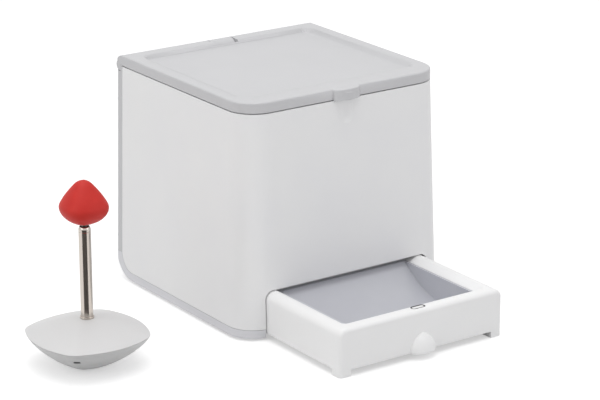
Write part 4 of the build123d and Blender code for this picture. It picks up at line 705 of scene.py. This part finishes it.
# %% Contact plates
PLATE, PLATE_BEVEL = 0.5 * MM, 0.12 * MM
contact_solids = islands("battery_contacts")
plates = bmesh.new()
for low, high, middle in contact_solids:
    outer = low.x + PLATE / 2 if middle.x < 0 else high.x - PLATE / 2
    corners = bmesh.ops.create_cube(plates, size=1)["verts"]
    bmesh.ops.scale(plates, verts=corners, vec=(PLATE, high.y - low.y, high.z - low.z))
    bmesh.ops.translate(plates, verts=corners, vec=(outer, middle.y, middle.z))
bmesh.ops.bevel(plates, geom=list(plates.edges), offset=PLATE_BEVEL, segments=2, profile=0.5,
                affect="EDGES", material=-1)
piece("contact_plates", plates, [spring_brass], "housing",
      ["battery_contacts"])

# %% [markdown]
# ## Form of a coil spring
# A tapering coil of spring wire presses on each cell. It could be a curve with a bevel, made
# into a mesh. Here a ring of wire is spun round the coil's axis while it moves along it, and
# the coil is narrowed towards the cell. Both ends of the wire stay closed.

# %% Spring form
WIRE, COIL, COIL_TAPER = 0.4 * MM, 5.6 * MM, 0.45
WIRE_SIDES, COIL_TURNS, STEPS_PER_TURN = 8, 3, 24
right_solids = [solid for solid in contact_solids if solid[2].x > 0]
spring_low, spring_high = right_solids[0][:2]
coil_length = spring_high.x - spring_low.x - PLATE
coil_steps = STEPS_PER_TURN * COIL_TURNS
rise = (coil_length - 2 * WIRE) / coil_steps
coil = bmesh.new()
bmesh.ops.create_circle(coil, cap_ends=True, segments=WIRE_SIDES, radius=WIRE,
                        matrix=Matrix.Translation((COIL, 0, WIRE))
                        @ Matrix.Rotation(QUARTER_TURN, 4, "X"))
bmesh.ops.spin(coil, geom=[*coil.verts, *coil.edges, *coil.faces], cent=(0, 0, 0),
               axis=(0, 0, 1), dvec=(0, 0, rise), angle=math.tau * COIL_TURNS,
               steps=coil_steps)
for vertex in coil.verts:
    narrow = 1 - COIL_TAPER * vertex.co.z / coil_length
    vertex.co.x *= narrow
    vertex.co.y *= narrow
bmesh.ops.remove_doubles(coil, verts=coil.verts, dist=WELD)
bmesh.ops.recalc_face_normals(coil, faces=coil.faces)
print("a coil is", round(coil_length / MM, 2), "mm long")

# %% [markdown]
# ## Springs in their box
# A spring stands on the inner face of each plate, at both ends of the box, so the places on
# the right are also used mirrored. A quarter turn round Y points the coil inwards. A mirror
# would turn the faces inside out, which a turn doesn't.

# %% Coil springs
places = []
for low, high, middle in right_solids:
    for side in (-1, 1):
        start = Vector((side * (high.x - PLATE), middle.y, middle.z))
        inwards = Matrix.Rotation(-side * QUARTER_TURN, 4, "Y")
        places.append(Matrix.Translation(start) @ inwards)
piece("coil_springs", add_copies(bmesh.new(), coil, places), [spring_brass], "housing")

# %% [markdown]
# ## Lid
# The lid is one moulding: a tray-like recess in its top with steep sides, and a front tab
# that grows out of its edge. It could be modelled from nothing, but the CAD solid is close,
# so a merged copy of it is the start. The recess floor is lowered and the tab's underside is
# raised to the seam, each by moving the points that lie at one height.

# %% Lid moulding
# a point within LEVEL of a height lies on it
LEVEL = 0.01 * MM
RECESS_DEPTH, RECESS_SINK = 2.2 * MM, 0.8 * MM
LID_THICKNESS, TAB_DROP, TAB_LIFT = 7.6 * MM, 1.7 * MM, 1.4 * MM
TAB_REACH, REACH_MARGIN = 5.0 * MM, 0.1 * MM
lid_low, lid_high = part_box("lid")
tab_middle = lid_low.y + TAB_REACH
moulding = bmesh.new()
moulding.from_mesh(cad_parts["lid"].data)
bmesh.ops.remove_doubles(moulding, verts=moulding.verts, dist=WELD)
recess_floor = [vertex for vertex in moulding.verts
                if abs(lid_high.z - RECESS_DEPTH - vertex.co.z) < LEVEL]
bmesh.ops.translate(moulding, verts=recess_floor, vec=(0, 0, -RECESS_SINK))
tab_under_z = lid_high.z - LID_THICKNESS - TAB_DROP
tab_under = [vertex for vertex in moulding.verts
             if abs(vertex.co.z - tab_under_z) < LEVEL
             and vertex.co.y < tab_middle + REACH_MARGIN]
bmesh.ops.translate(moulding, verts=tab_under, vec=(0, 0, TAB_LIFT))
print("points lowered:", len(recess_floor), "points raised:", len(tab_under))

# %% [markdown]
# ## Cap of the lid's tab
# The lid's top runs out over the tab as a half oval with a rounded edge. A cylinder with a
# bevel would come close, but this edge is fuller at its side than a round. So a circle grows
# through four rings that draw in towards the top, is closed at both ends, and is flattened
# to an oval. A weighted normal keeps the lid's large flat faces flat under smooth shading.

# %% Moulded lid
TAB_HALF, EDGE, CAP_SINK = 11.3 * MM, 1.3 * MM, 0.06 * MM
CAP_SIDES, CAP_FOOT = 64, 1.5
# the cap's edge: its width as a share, and its height below the top in sizes of EDGE
CAP_EDGE = ((1, 0.75), (0.985, 0.35), (0.955, 0.1), (0.91, 0))
cap_top = lid_high.z - CAP_SINK
cap = bmesh.new()
bmesh.ops.create_circle(cap, segments=CAP_SIDES, radius=TAB_HALF,
                        matrix=Matrix.Translation((0, 0, lid_high.z - CAP_FOOT * EDGE)))
cap_loop = grow(cap, list(cap.edges),
                [(share, (cap_top - drop * EDGE) / MM) for share, drop in CAP_EDGE])
bmesh.ops.contextual_create(cap, geom=cap_loop)
bmesh.ops.contextual_create(cap, geom=[edge for edge in cap.edges if edge.is_boundary])
bmesh.ops.scale(cap, verts=cap.verts, vec=(1, TAB_REACH / TAB_HALF, 1))
bmesh.ops.recalc_face_normals(cap, faces=cap.faces)
add_copies(moulding, cap, [Matrix.Translation((0, tab_middle, 0))])
moulded_lid = piece("moulded_lid", moulding, [grey_abs], "lid_set",
                    ["lid"], sharp_deg=30)
flat = moulded_lid.modifiers.new("flat_faces", "WEIGHTED_NORMAL")
flat.keep_sharp = True

# %% [markdown]
# ## An oval
# A small oval plug closes a screw hole in the drawer's front rim, and a black ring round it
# paints the shade of the gap round the plug. Both start as the same flat shape. It could be
# drawn as two arcs and two lines, but a circle whose halves are moved apart needs no arcs.

# %% Oval helper
OVAL_SIDES = 32
plug_low, plug_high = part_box("rim_plug")
plug_middle = (plug_low + plug_high) / 2
end_radius = (plug_high.y - plug_low.y) / 2
half_run = (plug_high.x - plug_low.x) / 2 - end_radius


def oval(radius):
    """A flat oval face as long as the plug's, with ends of this radius."""
    bm = bmesh.new()
    bmesh.ops.create_circle(bm, cap_ends=True, segments=OVAL_SIDES, radius=radius)
    for side in (-1, 1):
        half = [vertex for vertex in bm.verts if vertex.co.x * side > WELD]
        bmesh.ops.translate(bm, verts=half, vec=(side * half_run, 0, 0))
    return bm


print("oval ends:", round(end_radius / MM, 2), "mm, straight run:", round(half_run / MM, 2))

# %% [markdown]
# ## Ring of the plug
# The ring is flat and black, and paints the shade of the gap round the plug. The oval is inset,
# only its border is kept, and Solidify's operator gives it a thickness. A torus would be rounder
# than this flat ring.

# %% Plug ring
RING_GAP, RING_WIDTH, RING_DEPTH = 0.36 * MM, 0.85 * MM, 0.9 * MM
ring = oval(end_radius + RING_GAP)
bmesh.ops.inset_region(ring, faces=list(ring.faces), thickness=RING_WIDTH,
                       use_boundary=True, use_even_offset=True)
middle_face = max(ring.faces, key=lambda face: len(face.verts))
bmesh.ops.delete(ring, geom=[middle_face], context="FACES_ONLY")
bmesh.ops.recalc_face_normals(ring, faces=ring.faces)
bmesh.ops.solidify(ring, geom=list(ring.faces), thickness=RING_DEPTH)
bmesh.ops.recalc_face_normals(ring, faces=ring.faces)
ring_top = max(vertex.co.z for vertex in ring.verts)
bmesh.ops.translate(ring, verts=ring.verts,
                    vec=(plug_middle.x, plug_middle.y, plug_high.z - ring_top))
# the black ring is painted shade in the gap round the plug
piece("painted_shade_ring", ring, [black_rubber], "drawer_set")

# %% [markdown]
# ## Plug
# The plug is moulded in the drawer's white plastic and fits in the ring with a hair's width
# to spare. Its oval is extruded, and the top edge alone is bevelled, because the lower one
# is out of sight.

# %% Oval plug
PLUG_SINK, PLUG_BEVEL, PLUG_FIT = 0.12 * MM, 0.3 * MM, 0.02 * MM
plug = oval(end_radius + RING_GAP - RING_WIDTH - PLUG_FIT)
raised = bmesh.ops.extrude_face_region(plug, geom=list(plug.faces))["geom"]
plug_points = [item for item in raised if isinstance(item, bmesh.types.BMVert)]
bmesh.ops.translate(plug, verts=plug_points, vec=(0, 0, plug_high.z - plug_low.z - PLUG_SINK))
plug_edge = [item for item in raised if isinstance(item, bmesh.types.BMEdge)]
bmesh.ops.bevel(plug, geom=plug_edge, offset=PLUG_BEVEL, segments=3, profile=0.5,
                affect="EDGES", material=-1)
bmesh.ops.recalc_face_normals(plug, faces=plug.faces)
bmesh.ops.translate(plug, verts=plug.verts, vec=(plug_middle.x, plug_middle.y, plug_low.z))
piece("oval_plug", plug, [drawer_abs], "drawer_set", ["rim_plug"])

# %% [markdown]
# ## White to the eye only
# The background has to be white, and the object has to be lit softly. Brighter lamps would
# whiten both and wash out the object. So the floor and the world ask which ray is looking: to
# the camera, to reflections and through glass they have one strength, and for the light that
# they give the object they have another.

# %% Seen helper
def when_seen(tree, unseen, seen):
    """A strength for rays of the camera, reflections and glass, and another for the rest."""
    rays = add(tree, "ShaderNodeLightPath").outputs
    looking = rays["Is Camera Ray"]
    for kind in ("Is Glossy Ray", "Is Transmission Ray"):
        looking = add(tree, "ShaderNodeMath", {"operation": "MAXIMUM"}, _0=looking,
                      _1=rays[kind]).outputs[0]
    return add(tree, "ShaderNodeMapRange", Value=looking, To_Min=unseen, To_Max=seen).outputs[0]


# %% [markdown]
# ## Floor
# A plain matt floor holds the soft shadow. A curved backdrop is the usual way to hide the
# horizon, but here the floor and the world are both white to the camera, so a large flat
# sheet is enough. A little light of its own, for the eye only, makes it white.

# %% Floor
FLOOR_HALF, FLOOR_GLOW = 6, 0.45
WHITE = linear("#FFFFFF")
floor_paint, tree = new_material("matt_white_floor")
matt = add(tree, "ShaderNodeBsdfDiffuse", Color=linear("#E0E0E0"))
glow = add(tree, "ShaderNodeEmission", Color=WHITE, Strength=when_seen(tree, 0, FLOOR_GLOW))
both = add(tree, "ShaderNodeAddShader", _0=matt.outputs[0], _1=glow.outputs[0])
add(tree, "ShaderNodeOutputMaterial", Surface=both.outputs[0])
floor_sheet = bmesh.new()
bmesh.ops.create_grid(floor_sheet, x_segments=1, y_segments=1, size=FLOOR_HALF)
floor = mesh_object("studio_floor", floor_sheet, [floor_paint])
print("floor is", 2 * FLOOR_HALF, "m wide")

# %% [markdown]
# ## World
# The world is the light from all round, as from a room's white walls. A picture of a real
# room could give it, but its windows would show in the metal. One even white fills the
# shadows, and is white to the camera.

# %% World
WORLD_LIGHT, WORLD_SEEN = 0.50, 1
world = bpy.data.worlds.new("studio")
bpy.context.scene.world = world
world.use_nodes = True
tree = world.node_tree
tree.nodes.clear()
sky = add(tree, "ShaderNodeBackground", Color=WHITE,
          Strength=when_seen(tree, WORLD_LIGHT, WORLD_SEEN))
add(tree, "ShaderNodeOutputWorld", Surface=sky.outputs[0])
print("world lights with", WORLD_LIGHT, "and looks", WORLD_SEEN)

# %% [markdown]
# ## Lamps
# The photograph was lit by large soft lamps, brightest from above and the left, so shadows
# are soft and highlights wide. Small lamps or a sun would draw hard shadows. Each lamp is a
# square that faces a point near the middle of the object, and the one at the front is a
# little cooler.

# %% Lamps
COOL = (0.97, 0.96, 1.0)
# place, aim, width, power in watts, colour
LAMPS = {"top_box": ((-0.2, -0.1, 1.7), (0, 0, 0.1), 1.6, 14.5, WHITE[:3]),
         "left_box": ((-1.6, -0.2, 0.9), (0, 0, 0.08), 1.2, 5.0, WHITE[:3]),
         "front_box": ((0.95, -1.75, 0.9), (0, 0, 0.08), 1.2, 5.1, COOL)}
for name, (place, aim, width, power, colour) in LAMPS.items():
    lamp_data = bpy.data.lights.new(name, "AREA")
    lamp_data.shape = "SQUARE"
    lamp_data.size = width
    lamp_data.energy = power
    lamp_data.color = colour
    lamp = bpy.data.objects.new(name, lamp_data)
    bpy.context.collection.objects.link(lamp)
    facing = (Vector(place) - Vector(aim)).to_track_quat("Z", "Y")
    lamp.matrix_world = Matrix.Translation(place) @ facing.to_matrix().to_4x4()
    print(name, "gives", power, "W")

# %% [markdown]
# ## A dark card for the polished tube
# Polished metal has no colour of its own to speak of: it shows the room. In the photograph
# the tube mirrors the dark room behind the camera as a stripe down its middle. Painting the
# stripe on would slide it round in other views. A dark card before the target does what the
# dark room did. Only reflections see it: the camera, the shadows and the soft light pass
# through it.

# %% Dark card
CARD_DISTANCE, CARD_WIDTH, CARD_HEIGHT, CARD_LIFT = 60 * MM, 112 * MM, 98 * MM, 2 * MM
card_paint, tree = new_material("black_card")
paint = add(tree, "ShaderNodeBsdfPrincipled", Base_Color=linear("#6A6866"))
add(tree, "ShaderNodeOutputMaterial", Surface=paint.outputs[0])
card = bmesh.new()
bmesh.ops.create_grid(card, x_segments=1, y_segments=1, size=0.5,
                      matrix=Matrix.Rotation(QUARTER_TURN, 4, "X"))
bmesh.ops.scale(card, verts=card.verts, vec=(CARD_WIDTH, 1, CARD_HEIGHT))
card_foot = Vector((axis_x, axis_y, CARD_HEIGHT / 2 + CARD_LIFT))
card_place = card_foot + Vector((back.x, back.y, 0)).normalized() * CARD_DISTANCE
bmesh.ops.transform(card, verts=card.verts, matrix=Matrix.Translation(card_place)
                    @ Matrix.Rotation(AZIMUTH, 4, "Z"))
dark_card = mesh_object("dark_card", card, [card_paint])
dark_card.visible_camera = False
dark_card.visible_diffuse = False
dark_card.visible_shadow = False
dark_card.visible_transmission = False
print("card at", [round(c, 3) for c in card_place])

# %% [markdown]
# ## How the picture is shown
# Blender's usual view bends bright colours, as film does, and would make the whites grey.
# The Standard view shows a colour about as it is written.

# %% View transform
bpy.context.scene.view_settings.view_transform = "Standard"
print("view:", bpy.context.scene.view_settings.view_transform)
